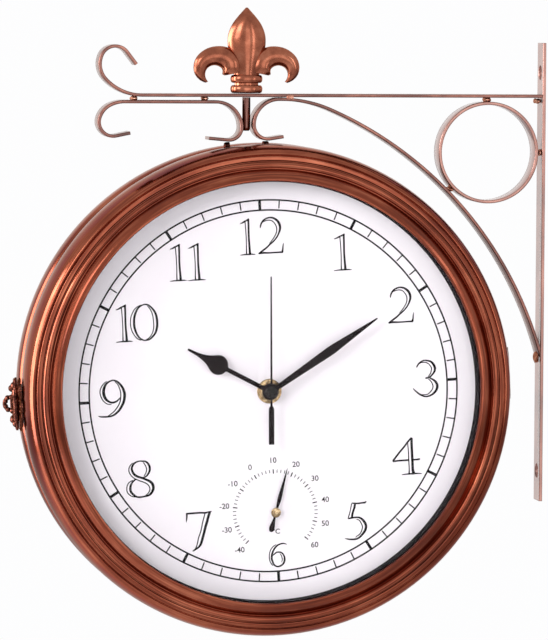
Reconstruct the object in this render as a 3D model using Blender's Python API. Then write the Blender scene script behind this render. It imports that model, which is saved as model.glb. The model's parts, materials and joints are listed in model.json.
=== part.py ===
"""A double-faced garden clock that hangs under a scrolled wall bracket.

Metres, +Z up. The origin is the middle of the wall strap's back face. The wall is the
plane X = 0, the bracket reaches out along -X and the front dial faces -Y.
"""

import math
from dataclasses import dataclass

import bmesh
import bpy
from mathutils import Matrix, Vector

# Clearances and steps shared by all pieces
FIT = 0.0003  # gap between two pieces that touch
OVERRUN = 0.0010  # how far a cutter passes the face that it cuts
MERGE = 0.000001  # points nearer than this are one point
SMOOTH_ANGLE = math.radians(32.0)
BEND_STEP = math.radians(12.0)  # turn of a bar between two of its sections
CASE_STEPS = 40
RING_STEPS = 32
SMALL_STEPS = 18
MIDDLE_STEPS = 12
FINE_STEPS = 10

# Flat bar that the bracket is bent from
BAR_WIDTH = 0.0160
BAR_THICKNESS = 0.0020
TOP_BAR_HEIGHT = 0.1082  # of the bar's middle, above the wall strap's middle

# Wall strap
WALL_STRAP_LENGTH = 0.2816
SCREW_HOLE_DIAMETER = 0.0088
SCREW_HOLE_INSET = 0.0183  # from the strap's end to the hole's middle

# Weld beads
SCROLL_GAP = 0.0020  # between the top bar and the lower scroll
RING_GAP = 0.0024  # round the bracket ring
BEAD_WIDTH = 0.0042
BEAD_LENGTH = 0.0140
LEFT_BEAD_PLACE = 0.0691  # beyond the post
RIGHT_BEAD_PLACE = 0.0257
FILLET_LEG = 0.0034  # of the welds between the bars' ends and the wall strap
FILLET_THROAT_SHARE = 0.58
FILLET_BULGE = 0.0016
CROWN_WELD_PLACE = 0.0256  # before the post
CROWN_WELD_HALF_WIDTH = 0.0024
CROWN_WELD_HALF_HEIGHT = 0.0016
CROWN_WELD_THICKNESS = 0.0010

# Hanger post and the two feet beside it
POST_RADIUS = 0.0025
POST_LENGTH = 0.0203
FOOT_SHOULDER = 0.0155  # radius of the upper bend of both feet
LEFT_FOOT_RADIUS = 0.0076
LEFT_FOOT_TURN = math.radians(95.0)
LEFT_FOOT_TAIL = 0.0120
RIGHT_FOOT_RADIUS = 0.0086
RIGHT_FOOT_TURN = math.radians(99.0)
RIGHT_FOOT_TAIL = 0.0082
FOOT_GAP = 0.00375  # from the right foot's sole to the rim of the case
PAD_WIDTH = 0.0044
PAD_INSET = 0.00045  # of a foot's bead from both edges of the rim band

# Scrolls: the first radius and the bends as shares of it
UPPER_OVERHANG = 0.0646  # straight part beyond the post
UPPER_SCROLL_RADIUS = 0.0307
UPPER_SCROLL_SHARES = ((1.0, 46.25), (0.437, 68.6), (0.291, 117.75))
UPPER_SCROLL_TAIL = 0.0093
LOWER_OVERHANG = 0.0756
LOWER_SCROLL_RADIUS = 0.0190
LOWER_SCROLL_SHARES = ((1.0, 26.4), (0.668, 48.7), (0.451, 116.5))
LOWER_SCROLL_TAIL = 0.0088

# Brace scroll
BRACE_FLAT = 0.0015  # straight part under the top bar
BRACE_CROWN_RADIUS = 0.0763
BRACE_CROWN_TURN = math.radians(23.35)
BRACE_END_SLOPE = math.radians(72.8)  # below level, where it meets the wall strap

# Finial
FINIAL_HEIGHT = 0.0519
PETAL_HALF_WIDTH = 0.01175
PETAL_HALF_DEPTH = 0.0062
PETAL_CREASE_SHARE = 0.14
PETAL_SHARES = (
    (0.012, 0.66), (0.12, 0.62), (0.237, 0.69), (0.36, 0.83), (0.49, 0.95),
    (0.605, 1.0), (0.70, 0.95), (0.80, 0.77), (0.88, 0.52), (0.95, 0.25), (1.0, 0.05),
)
COLLAR_HALF_WIDTH = 0.00985
COLLAR_HALF_DEPTH = 0.0066
COLLAR_HEIGHT = 0.0048
COLLAR_GAP = 0.0014
HORN_REACH = 0.0166  # from the post's axis to the middle of a horn's curl
HORN_RISE = 0.0100  # of that middle above the bar
HORN_RADIUS = 0.0135
HORN_HALF_WIDTH = 0.0073
HORN_DEPTH_SHARE = 0.74
HORN_SHARES = (
    (12.0, 0.66, 0.80), (40.0, 0.704, 1.0), (70.0, 0.852, 0.93), (96.0, 0.919, 0.84),
    (120.0, 0.978, 0.75), (147.0, 1.0, 0.63), (175.0, 0.889, 0.44), (204.0, 0.63, 0.12),
)

# Case: radii at the widest place, and depths measured out from the seam
CASE_RADIUS = 0.1496
CASE_LEAN = math.radians(3.3)  # the case hangs turned this far anticlockwise
CASE_TO_WALL = 0.02345
CASE_OFFSET = 0.01145  # of the case's middle from the post, toward the wall
WIDEST_HEIGHT = 0.0150
BACK_ROUND = 0.0012
RIM_STEP = 0.0008
RIM_STEP_RISE = 0.0007
RIM_DEPTH = 0.0050
SIDE_CURVE = 0.0056
BEZEL_WIDTH = 0.0162
BEZEL_RISE = 0.0043
LIP_THICKNESS = 0.0019
SHELL_WALL = 0.0014
BEAD_RADIUS = 0.0020
BEAD_PLACE_SHARE = 0.401
BEAD_RISE_SHARE = 0.233
BEAD_START = math.radians(5.0)  # of its round side above level
INNER_CURVE_START = math.radians(72.0)
BEZEL_OUTER_SHARES = ((0.037, -0.14), (0.074, 0.163), (0.216, 0.233), (0.265, 0.07))
BEZEL_INNER_SHARES = ((0.549, 0.186), (0.765, 0.767), (0.914, 0.977), (0.963, 1.0), (1.0, 0.86))

# Stack behind and in front of the dial
MOVEMENT_CLEARANCE = 0.0052  # from the seam to the movement's back
MOVEMENT_DEPTH = 0.0160
MOVEMENT_WIDTH = 0.0560
MOVEMENT_CORNER = 0.0040
DIAL_THICKNESS = 0.0010
DIAL_CLEARANCE = 0.0008
GLASS_GAP = 0.0114
GLASS_THICKNESS = 0.0024
GLASS_OVERLAP = 0.0037  # of the glass behind the lip
GLASS_CLEARANCE = 0.0004
SPACER_PROUD = 0.0005  # of the black ring inside the lip
SPACER_WALL = 0.0032
RETAINER_WIDTH = 0.0030
RETAINER_HEIGHT = 0.0017
RETAINER_CLEARANCE = 0.0004

# Battery and its bay
BATTERY_RADIUS = 0.0071
BATTERY_LENGTH = 0.0492
BATTERY_CAP_RADIUS = 0.00275
BATTERY_CAP_LENGTH = 0.0013
BATTERY_DROP = 0.0170  # below the hands' axis
BAY_SIDE_CLEARANCE = 0.0004

# Setting knob
KNOB_RADIUS = 0.0065
KNOB_THICKNESS = 0.0023
KNOB_NOTCH = 0.0006
KNOB_TEETH = 12
KNOB_RISE = 0.0110  # above the hands' axis
KNOB_STEM_RADIUS = 0.0015
KNOB_STEM_LENGTH = 0.0041

# Fixing at the middle of the dial
ARBOR_DEPTH = 0.0060  # of the arbors' bore in the movement
BUSH_RADIUS = 0.0036
BUSH_BORE = 0.0028
BUSH_PROUD = 0.0004
WASHER_RADIUS = 0.0075
WASHER_THICKNESS = 0.0006
NUT_RADIUS = 0.0052
NUT_HEIGHT = 0.0022

# Hands
HAND_THICKNESS = 0.0006
HAND_SPACING = 0.0012
FIRST_HAND_GAP = 0.0009  # from the bush to the hour hand
TUBE_PROUD = 0.0002
HOUR_TUBE_RADIUS = 0.0025
HOUR_TUBE_BORE = 0.0019
MINUTE_TUBE_RADIUS = 0.0016
MINUTE_TUBE_BORE = 0.00095
SECOND_SHAFT_RADIUS = 0.00065

HOUR_ANGLE = math.radians(-59.5)  # clockwise from 12
HOUR_LENGTH = 0.0570
HOUR_HUB = 0.0051
HOUR_STEM = 0.00135
HOUR_BULB_PLACE = 0.0360
HOUR_BULB_RADIUS = 0.0060
HOUR_TIP = 0.00075
BULB_END = math.radians(25.0)
HOUR_TAPER_SHARES = ((0.15, 0.86), (0.24, 0.65), (0.38, 0.41), (0.58, 0.23), (0.78, 0.15))

MINUTE_ANGLE = math.radians(59.0)
MINUTE_LENGTH = 0.0790
MINUTE_HUB = 0.0044
MINUTE_STEM = 0.0015
MINUTE_WIDEST = 0.00275
MINUTE_WIDEST_PLACE = 0.0450
MINUTE_TIP = 0.0004

SECOND_ANGLE = math.radians(2.8)
SECOND_LENGTH = 0.0702
SECOND_TAIL = 0.0318
SECOND_NEEDLE = 0.0005
SECOND_NECK = 0.00065
SECOND_NECK_END = 0.0084
SECOND_BAR = 0.00165
SECOND_THICKNESS = 0.0005
SECOND_BOSS = 0.0037
SECOND_BOSS_HEIGHT = 0.0018
BOSS_FLUSH = 0.0001  # of the boss behind the blade
BOSS_DOME_SHARE = 0.7

# Thermometer in the lower half of the front dial
THERMOMETER_DROP = 0.0739
CUP_RADIUS = 0.0180
CUP_DEPTH = 0.0072
CUP_WALL = 0.0008
COIL_TURNS = 3
COIL_STEPS = 10  # sections in one turn
COIL_THICKNESS = 0.0005
COIL_WIDTH = 0.0040
SPINDLE_RADIUS = 0.0009
SPINDLE_HEAD_RADIUS = 0.0030
SPINDLE_HEAD_HEIGHT = 0.0006
POINTER_ANGLE = math.radians(17.7)
POINTER_LENGTH = 0.0279
POINTER_TAIL = 0.0122
POINTER_HALF_WIDTH = 0.0012
POINTER_WIDEST_PLACE = 0.0085
PADDLE_HALF_WIDTH = 0.0016
PADDLE_LENGTH = 0.0040
POINTER_HUB = 0.0024
POINTER_TIP = 0.0003
POINTER_THICKNESS = 0.0004
POINTER_LIFT = 0.0018  # above the dial

# Case hinge at 3 o'clock
HINGE_OUT = 0.0014  # of its axis beyond the case
HINGE_HEIGHT = 0.0315
HINGE_KNUCKLES = 5
KNUCKLE_RADIUS = 0.0025
LEAF_THICKNESS = 0.0011
LEAF_REACH = 0.0140
HINGE_PIN_RADIUS = 0.0010
PIN_HEAD_RADIUS = 0.0017
PIN_HEAD_LENGTH = 0.0012
LEAF_SHARES = ((0.0, 1.0), (0.72, 1.0), (0.90, 0.86), (1.0, 0.62))

# Latch at 9 o'clock
LATCH_HEIGHT = 0.0315
LATCH_PLATE_NEAR = 0.0062  # from the seam to a plate's near edge
LATCH_PLATE_REACH = 0.0200
LATCH_PLATE_THICKNESS = 0.0012
HASP_AXIS_PLACE = 0.0065  # from the seam
HASP_AXIS_LIFT = 0.0030  # above the case
HASP_KNUCKLE_RADIUS = 0.0019
HASP_KNUCKLE_LENGTH = 0.0100
PLATE_KNUCKLE_LENGTH = 0.0042
LATCH_PIN_RADIUS = 0.0008
HASP_THICKNESS = 0.0014
HASP_REACH = 0.0210  # from its axis to its end
HASP_NECK = 0.0026
HASP_LIP_RADIUS = 0.0013
HASP_LIP_LENGTH = 0.0090
SLOT_NEAR = 0.0128  # from the hasp's axis
SLOT_FAR = 0.0173
SLOT_HALF_HEIGHT = 0.0065
STAPLE_PLACE = 0.0080  # from the seam
STAPLE_HALF_SPAN = 0.0040
STAPLE_WIRE = 0.0012
STAPLE_LIFT = 0.0097  # of its top above the case
STAPLE_STEPS = 7
ORNATE_SHARES = (
    (0.0, 0.90), (0.12, 1.0), (0.34, 0.97), (0.50, 0.74), (0.58, 0.70), (0.72, 0.80),
    (0.86, 0.66), (0.90, 0.44), (0.84, 0.30), (0.97, 0.20), (1.0, 0.06),
)
HASP_SHARES = (
    (0.0, 0.90), (0.10, 1.0), (0.30, 0.96), (0.45, 0.78), (0.55, 0.74), (0.68, 0.80),
    (0.80, 0.66), (0.88, 0.42), (1.0, 0.30),
)

# Depths out from the seam that follow from the stack
SEAM_BACK = FIT / 2
MOVEMENT_FRONT = MOVEMENT_CLEARANCE + MOVEMENT_DEPTH
DIAL_BACK = MOVEMENT_FRONT + FIT
DIAL_FRONT = DIAL_BACK + DIAL_THICKNESS
GLASS_BACK = DIAL_FRONT + GLASS_GAP
GLASS_FRONT = GLASS_BACK + GLASS_THICKNESS
LIP_UNDERSIDE = GLASS_FRONT + FIT
LIP_TOP = LIP_UNDERSIDE + LIP_THICKNESS
FACE_HEIGHT = LIP_TOP - BEZEL_RISE
WASHER_BACK = DIAL_FRONT + FIT
NUT_BACK = WASHER_BACK + WASHER_THICKNESS + FIT
BUSH_TOP = NUT_BACK + NUT_HEIGHT + BUSH_PROUD
ARBOR_FLOOR = MOVEMENT_FRONT - ARBOR_DEPTH
BATTERY_HEIGHT = MOVEMENT_CLEARANCE + FIT + BATTERY_RADIUS
KNOB_TOP = MOVEMENT_CLEARANCE - FIT
KNOB_STEM_END = KNOB_TOP + KNOB_STEM_LENGTH
HOUR_BACK = BUSH_TOP + FIRST_HAND_GAP
MINUTE_BACK = HOUR_BACK + HAND_THICKNESS + HAND_SPACING
SECOND_BACK = MINUTE_BACK + HAND_THICKNESS + HAND_SPACING
POINTER_BACK = DIAL_FRONT + POINTER_LIFT

# Radii that follow from the case
FACE_RADIUS = CASE_RADIUS - SIDE_CURVE
LIP_RADIUS = FACE_RADIUS - BEZEL_WIDTH
SHOULDER_RADIUS = CASE_RADIUS - BACK_ROUND
RIM_RADIUS = SHOULDER_RADIUS - RIM_STEP
GLASS_RADIUS = LIP_RADIUS + GLASS_OVERLAP
SPACER_INNER = LIP_RADIUS - SPACER_PROUD

# Places on the bracket that follow from the case and the bar
HALF_BAR = BAR_THICKNESS / 2
CASE_X = -(CASE_RADIUS + CASE_TO_WALL)
POST_X = CASE_X - CASE_OFFSET
FOOT_SPREAD = POST_RADIUS + FIT + HALF_BAR  # from the post's axis to a foot's bar
TOP_BAR_UNDERSIDE = TOP_BAR_HEIGHT - HALF_BAR
TOP_BAR_TOP = TOP_BAR_HEIGHT + HALF_BAR
LOWER_BAR_HEIGHT = TOP_BAR_UNDERSIDE - SCROLL_GAP - HALF_BAR
BRACE_HEIGHT = TOP_BAR_UNDERSIDE - FIT - HALF_BAR
LEFT_SOLE = LOWER_BAR_HEIGHT - FOOT_SHOULDER - LEFT_FOOT_RADIUS - HALF_BAR
RIGHT_SOLE = BRACE_HEIGHT - FOOT_SHOULDER - RIGHT_FOOT_RADIUS - HALF_BAR
CASE_Z = RIGHT_SOLE - FOOT_GAP - RIM_RADIUS
LEFT_PAD_X = POST_X - FOOT_SPREAD - LEFT_FOOT_RADIUS
RIGHT_PAD_X = POST_X + FOOT_SPREAD + RIGHT_FOOT_RADIUS


@dataclass(frozen=True)
class Finish:
    """Colour and surface of one kind of material."""

    colour: tuple
    metallic: float
    roughness: float
    transmission: float = 0.0


COPPER = Finish((0.33, 0.11, 0.05), 0.9, 0.36)
BRACKET_COPPER = Finish((0.42, 0.19, 0.13), 0.85, 0.45)
CAST_COPPER = Finish((0.38, 0.15, 0.08), 0.9, 0.34)
WELD = Finish((0.16, 0.08, 0.06), 0.7, 0.60)
DARK_IRON = Finish((0.06, 0.04, 0.04), 0.8, 0.50)
CLEAR_GLASS = Finish((0.95, 0.97, 0.97), 0.0, 0.03, 1.0)
BLACK_PLASTIC = Finish((0.02, 0.02, 0.02), 0.0, 0.40)
DIAL_WHITE = Finish((0.88, 0.86, 0.87), 0.0, 0.55)
HAND_BLACK = Finish((0.012, 0.010, 0.010), 0.1, 0.35)
BRASS = Finish((0.62, 0.44, 0.22), 1.0, 0.30)
STEEL = Finish((0.55, 0.55, 0.56), 1.0, 0.35)
BATTERY_WRAP = Finish((0.05, 0.05, 0.06), 0.2, 0.35)
BIMETAL = Finish((0.50, 0.42, 0.34), 1.0, 0.40)


@dataclass(frozen=True)
class Run:
    """A straight length of bar."""

    length: float


@dataclass(frozen=True)
class Bend:
    """A bend of the bar, anticlockwise seen from the front if the angle is positive."""

    radius: float
    angle: float


@dataclass(frozen=True)
class Station:
    """A place along a bar's middle line, with the bar's direction there."""

    x: float
    z: float
    heading: float

    def along(self):
        """Return the unit direction of the bar."""
        return Vector((math.cos(self.heading), 0.0, math.sin(self.heading)))

    def across(self):
        """Return the unit direction through the bar's thickness."""
        return Vector((-math.sin(self.heading), 0.0, math.cos(self.heading)))


def clear_scene():
    """Remove every object that the scene holds."""
    for item in list(bpy.data.objects):
        bpy.data.objects.remove(item, do_unlink=True)


def material_for(name, finish):
    """Make one piece's own material."""
    material = bpy.data.materials.new(name + "_finish")
    material.use_nodes = True
    shader = material.node_tree.nodes["Principled BSDF"]
    shader.inputs["Base Color"].default_value = (*finish.colour, 1.0)
    shader.inputs["Metallic"].default_value = finish.metallic
    shader.inputs["Roughness"].default_value = finish.roughness
    shader.inputs["Transmission Weight"].default_value = finish.transmission
    return material


def add_frame(name, parent=None, location=(0.0, 0.0, 0.0), turn=(0.0, 0.0, 0.0)):
    """Add an empty that carries other pieces."""
    frame = bpy.data.objects.new(name, None)
    bpy.context.scene.collection.objects.link(frame)
    frame.parent = parent
    frame.location = location
    frame.rotation_euler = turn
    return frame


def add_piece(name, mesh, finish, parent=None, location=(0.0, 0.0, 0.0), turn=(0.0, 0.0, 0.0)):
    """Add one named piece with its own material."""
    mesh.name = name
    mesh.materials.clear()
    mesh.materials.append(material_for(name, finish))
    mesh.shade_smooth()
    mesh.set_sharp_from_angle(angle=SMOOTH_ANGLE)
    piece = bpy.data.objects.new(name, mesh)
    bpy.context.scene.collection.objects.link(piece)
    piece.parent = parent
    piece.location = location
    piece.rotation_euler = turn
    return piece


def mesh_from(bm):
    """Close a bmesh into a mesh whose faces point out."""
    bmesh.ops.remove_doubles(bm, verts=bm.verts, dist=MERGE)
    bmesh.ops.recalc_face_normals(bm, faces=bm.faces)
    mesh = bpy.data.meshes.new("shape")
    bm.to_mesh(mesh)
    bm.free()
    return mesh


def turned(profile, steps, phase=0.0, ring=False):
    """Revolve an outline of (radius, height) points about local Z.

    The outline of a solid runs from the axis to the axis. A ring's outline is closed and
    stays off the axis. The phase turns the first section about Z.
    """
    bm = bmesh.new()
    start = Matrix.Rotation(phase, 4, "Z")
    verts = [bm.verts.new(start @ Vector((radius, 0.0, height))) for radius, height in profile]
    edges = [bm.edges.new(pair) for pair in zip(verts, verts[1:])]
    if ring:
        edges.append(bm.edges.new((verts[-1], verts[0])))
    bmesh.ops.spin(
        bm, geom=verts + edges, cent=(0.0, 0.0, 0.0), axis=(0.0, 0.0, 1.0),
        angle=math.tau, steps=steps,
    )
    return mesh_from(bm)


def rod(radius, low, high, steps=FINE_STEPS, phase=0.0):
    """Make a round rod along local Z."""
    return turned([(0.0, low), (radius, low), (radius, high), (0.0, high)], steps, phase)


def tube(bore, radius, low, high, steps=FINE_STEPS, phase=0.0):
    """Make a round tube or washer along local Z."""
    profile = [(bore, low), (radius, low), (radius, high), (bore, high)]
    return turned(profile, steps, phase, ring=True)


def slab(outline, low, high):
    """Extrude an outline of (x, y) points along local Z."""
    bm = bmesh.new()
    face = bm.faces.new([bm.verts.new((x, y, low)) for x, y in outline])
    grown = bmesh.ops.extrude_face_region(bm, geom=[face], use_keep_orig=True)
    moved = [item for item in grown["geom"] if isinstance(item, bmesh.types.BMVert)]
    bmesh.ops.translate(bm, verts=moved, vec=(0.0, 0.0, high - low))
    return mesh_from(bm)


def loft(rings):
    """Skin a row of rings of points that have the same count, and cap both ends."""
    bm = bmesh.new()
    rows = [[bm.verts.new(point) for point in ring] for ring in rings]
    for row, following in zip(rows, rows[1:]):
        for index, vert in enumerate(row):
            neighbour = (index + 1) % len(row)
            bm.faces.new((vert, row[neighbour], following[neighbour], following[index]))
    bm.faces.new(rows[0])
    bm.faces.new(rows[-1])
    return mesh_from(bm)


def moved(mesh, matrix):
    """Move a mesh's points by a matrix and return the mesh."""
    mesh.transform(matrix)
    return mesh


def combined(base, others, operation):
    """Unite a mesh with others, or cut them out of it, and return the new mesh."""
    scene = bpy.context.scene.collection.objects
    body = bpy.data.objects.new("body", base)
    scene.link(body)
    helpers = []
    for other in others:
        helper = bpy.data.objects.new("helper", other)
        scene.link(helper)
        helper.hide_render = True
        helper.display_type = "WIRE"
        modifier = body.modifiers.new("Boolean", "BOOLEAN")
        modifier.operation = operation
        modifier.solver = "EXACT"
        modifier.object = helper
        helpers.append(helper)
    graph = bpy.context.evaluated_depsgraph_get()
    graph.update()
    result = bpy.data.meshes.new_from_object(body.evaluated_get(graph))
    for item in [body] + helpers:
        bpy.data.objects.remove(item, do_unlink=True)
    return result


def united(base, *others):
    """Unite meshes into one body."""
    return combined(base, others, "UNION")


def cut(base, *others):
    """Cut the other meshes out of a mesh."""
    return combined(base, others, "DIFFERENCE")


def arc(centre, radii, start, end, steps):
    """Return points along an arc of an ellipse, both ends included."""
    points = []
    for index in range(steps + 1):
        angle = start + (end - start) * index / steps
        x = centre[0] + radii[0] * math.cos(angle)
        y = centre[1] + radii[1] * math.sin(angle)
        points.append((x, y))
    return points


def rectangle(half_width, half_height, middle=(0.0, 0.0)):
    """Return the corners of a rectangle."""
    x, y = middle
    return [
        (x - half_width, y - half_height), (x + half_width, y - half_height),
        (x + half_width, y + half_height), (x - half_width, y + half_height),
    ]


def rounded_rectangle(half_width, half_height, corner, steps=3):
    """Return the outline of a rectangle with round corners."""
    points = []
    quarter = math.pi / 2
    for index, (side_x, side_y) in enumerate(((1, 1), (-1, 1), (-1, -1), (1, -1))):
        centre = (side_x * (half_width - corner), side_y * (half_height - corner))
        start = index * quarter
        points += arc(centre, (corner, corner), start, start + quarter, steps)
    return points


def bar_path(heading, moves):
    """Follow runs and bends from the origin and return the stations along them."""
    x = 0.0
    z = 0.0
    stations = [Station(x, z, heading)]
    for move in moves:
        if isinstance(move, Run):
            x += move.length * math.cos(heading)
            z += move.length * math.sin(heading)
            stations.append(Station(x, z, heading))
            continue
        side = math.copysign(1, move.angle)
        centre_x = x - side * move.radius * math.sin(heading)
        centre_z = z + side * move.radius * math.cos(heading)
        steps = max(2, math.ceil(abs(move.angle) / BEND_STEP))
        first = heading
        for index in range(1, steps + 1):
            heading = first + move.angle * index / steps
            x = centre_x + side * move.radius * math.sin(heading)
            z = centre_z - side * move.radius * math.cos(heading)
            stations.append(Station(x, z, heading))
    return stations


def bar_mesh(stations, end_plane=None):
    """Make the bar that follows the stations, its last end cut level with a plane of X."""
    rings = []
    for station in stations:
        middle = Vector((station.x, 0.0, station.z))
        ring = []
        for across, along_y in ((-1, -1), (1, -1), (1, 1), (-1, 1)):
            point = middle + station.across() * (across * HALF_BAR)
            point.y = along_y * BAR_WIDTH / 2
            ring.append(point)
        rings.append(ring)
    if end_plane is not None:
        along = stations[-1].along()
        for point in rings[-1]:
            point += along * ((end_plane - point.x) / along.x)
    return loft(rings)


def scroll_moves(radius, shares, tail, side):
    """Return the bends of a scroll that tightens toward its tail."""
    bends = [Bend(radius * share, side * math.radians(turn)) for share, turn in shares]
    return bends + [Run(tail)]


def build_wall_strap(parent):
    """Build the strap that is screwed to the wall."""
    half_length = WALL_STRAP_LENGTH / 2
    strap = slab(rectangle(BAR_WIDTH / 2, half_length), -HALF_BAR, HALF_BAR)
    holes = []
    for side in (-1, 1):
        hole = rod(SCREW_HOLE_DIAMETER / 2, -BAR_THICKNESS, BAR_THICKNESS, SMALL_STEPS)
        height = side * (half_length - SCREW_HOLE_INSET)
        holes.append(moved(hole, Matrix.Translation((0.0, height, 0.0))))
    facing_wall = (math.pi / 2, 0.0, math.pi / 2)
    place = (-HALF_BAR, 0.0, 0.0)
    add_piece("wall_strap", cut(strap, *holes), BRACKET_COPPER, parent, place, facing_wall)


def build_top_bar(parent):
    """Build the bar that reaches out from the wall strap and rolls up at its free end."""
    start = -(BAR_THICKNESS + FIT)
    moves = [Run(start - POST_X + UPPER_OVERHANG)]
    moves += scroll_moves(UPPER_SCROLL_RADIUS, UPPER_SCROLL_SHARES, UPPER_SCROLL_TAIL, -1)
    bar = bar_mesh(bar_path(math.pi, moves))
    add_piece("top_bar", bar, BRACKET_COPPER, parent, (start, 0.0, TOP_BAR_HEIGHT))


def build_lower_scroll(parent):
    """Build the bar under the top bar, with the left foot and the lower scroll."""
    heading = math.pi / 2 - LEFT_FOOT_TURN
    straight = LOWER_OVERHANG - FOOT_SPREAD - FOOT_SHOULDER
    moves = [
        Run(LEFT_FOOT_TAIL), Bend(LEFT_FOOT_RADIUS, LEFT_FOOT_TURN),
        Bend(FOOT_SHOULDER, math.pi / 2), Run(straight),
    ]
    moves += scroll_moves(LOWER_SCROLL_RADIUS, LOWER_SCROLL_SHARES, LOWER_SCROLL_TAIL, 1)
    stations = bar_path(heading, moves)
    place_x = POST_X - FOOT_SPREAD - max(station.x for station in stations)
    place_z = LOWER_BAR_HEIGHT - max(station.z for station in stations)
    place = (place_x, 0.0, place_z)
    add_piece("lower_scroll", bar_mesh(stations), BRACKET_COPPER, parent, place)


@dataclass(frozen=True)
class Brace:
    """The brace's place and path, with the circle of its long bend."""

    place: tuple
    stations: list
    centre: Vector
    radius: float


def plan_brace():
    """Work out the brace from its foot, its crown and the wall strap that it meets."""
    heading = math.pi / 2 + RIGHT_FOOT_TURN
    moves = [
        Run(RIGHT_FOOT_TAIL), Bend(RIGHT_FOOT_RADIUS, -RIGHT_FOOT_TURN),
        Bend(FOOT_SHOULDER, -math.pi / 2), Run(BRACE_FLAT),
        Bend(BRACE_CROWN_RADIUS, -BRACE_CROWN_TURN),
    ]
    crown = bar_path(heading, moves)
    place_x = POST_X + FOOT_SPREAD - min(station.x for station in crown)
    place_z = BRACE_HEIGHT - max(station.z for station in crown)
    last = crown[-1]
    wall_side = -(BAR_THICKNESS + FIT + HALF_BAR)
    across = math.sin(BRACE_END_SLOPE) - math.sin(BRACE_CROWN_TURN)
    radius = (wall_side - place_x - last.x) / across
    centre = Vector((place_x + last.x, 0.0, place_z + last.z)) - last.across() * radius
    moves.append(Bend(radius, BRACE_CROWN_TURN - BRACE_END_SLOPE))
    return Brace((place_x, 0.0, place_z), bar_path(heading, moves), centre, radius)


def build_brace(parent, brace):
    """Build the brace scroll, cut square against the wall strap."""
    end_plane = -(BAR_THICKNESS + FIT) - brace.place[0]
    bar = bar_mesh(brace.stations, end_plane)
    add_piece("brace_scroll", bar, BRACKET_COPPER, parent, brace.place)


def ring_centre(outer_radius):
    """Return the middle of a ring that keeps the weld gap to the top bar and the strap."""
    reach = outer_radius + RING_GAP
    return Vector((-BAR_THICKNESS - reach, 0.0, TOP_BAR_UNDERSIDE - reach))


def ring_outer_radius(brace):
    """Find the ring that keeps the same weld gap to bar, wall strap and brace."""
    low = BAR_THICKNESS
    high = TOP_BAR_HEIGHT
    for _ in range(60):
        radius = (low + high) / 2
        reach = brace.radius + HALF_BAR + RING_GAP + radius
        if (ring_centre(radius) - brace.centre).length > reach:
            low = radius
        else:
            high = radius
    return low


def build_ring(parent, brace):
    """Build the strap ring and return its middle and outer radius."""
    outer = ring_outer_radius(brace)
    centre = ring_centre(outer)
    half_width = BAR_WIDTH / 2
    ring = tube(outer - BAR_THICKNESS, outer, -half_width, half_width, RING_STEPS)
    add_piece("bracket_ring", ring, BRACKET_COPPER, parent, centre, (math.pi / 2, 0.0, 0.0))
    return centre, outer


def bead_mesh(thickness):
    """Make a weld bead that fills a gap of a given width, less the fit on both sides."""
    half_width = BEAD_WIDTH / 2
    half_height = thickness / 2
    sides = arc((0.0, 0.0), (half_width, half_height), 0.0, math.tau, FINE_STEPS)
    return slab(sides[:-1], -BEAD_LENGTH / 2, BEAD_LENGTH / 2)


def add_bead(name, parent, place, gap, facing):
    """Add a bead in a gap that opens in the direction `facing`, an angle from +X to +Z."""
    bead = bead_mesh(gap - 2 * FIT)
    turn = (math.pi / 2, math.pi / 2 - facing, 0.0)
    add_piece(name, bead, WELD, parent, place, turn)


def build_bar_beads(parent, ring_middle, ring_radius, brace):
    """Build the beads between the bars and round the ring."""
    height = TOP_BAR_UNDERSIDE - SCROLL_GAP / 2
    upright = math.pi / 2
    left = (POST_X - LEFT_BEAD_PLACE, 0.0, height)
    right = (POST_X - RIGHT_BEAD_PLACE, 0.0, height)
    add_bead("weld_scroll_left", parent, left, SCROLL_GAP, upright)
    add_bead("weld_scroll_right", parent, right, SCROLL_GAP, upright)
    reach = ring_radius + RING_GAP / 2
    top = ring_middle + Vector((0.0, 0.0, reach))
    side = ring_middle + Vector((reach, 0.0, 0.0))
    inward = (brace.centre - ring_middle).normalized()
    low = ring_middle + inward * reach
    add_bead("weld_ring_top", parent, top, RING_GAP, upright)
    add_bead("weld_ring_side", parent, side, RING_GAP, 0.0)
    add_bead("weld_ring_brace", parent, low, RING_GAP, math.atan2(inward.z, inward.x))


def add_fillet(name, parent, outline):
    """Add a weld along the bar's width from its outline of (X, Z) points."""
    fillet = slab(outline, -BEAD_LENGTH / 2, BEAD_LENGTH / 2)
    add_piece(name, fillet, WELD, parent, turn=(math.pi / 2, 0.0, 0.0))


def build_end_welds(parent, brace):
    """Build the welds where the top bar and the brace meet the wall strap."""
    wall = -(BAR_THICKNESS + FIT)
    under = TOP_BAR_UNDERSIDE - FIT
    throat = FILLET_LEG * FILLET_THROAT_SHARE
    corner = [
        (wall, under), (wall - FILLET_LEG, under), (wall - throat, under - throat),
        (wall, under - FILLET_LEG),
    ]
    add_fillet("weld_bar_end", parent, corner)
    last = brace.stations[-1]
    along = last.along()
    outward = -last.across()
    edge = Vector(brace.place) + Vector((last.x, 0.0, last.z)) + outward * HALF_BAR
    edge += along * ((wall - edge.x) / along.x)
    inner = edge + Vector((0.0, 0.0, FIT / outward.z))
    upper = edge - along * FILLET_LEG + outward * FIT
    bulge = edge + outward * (FIT + FILLET_BULGE)
    points = [inner, upper, bulge, inner - Vector((0.0, 0.0, FILLET_LEG))]
    add_fillet("weld_brace_end", parent, [(point.x, point.z) for point in points])


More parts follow.
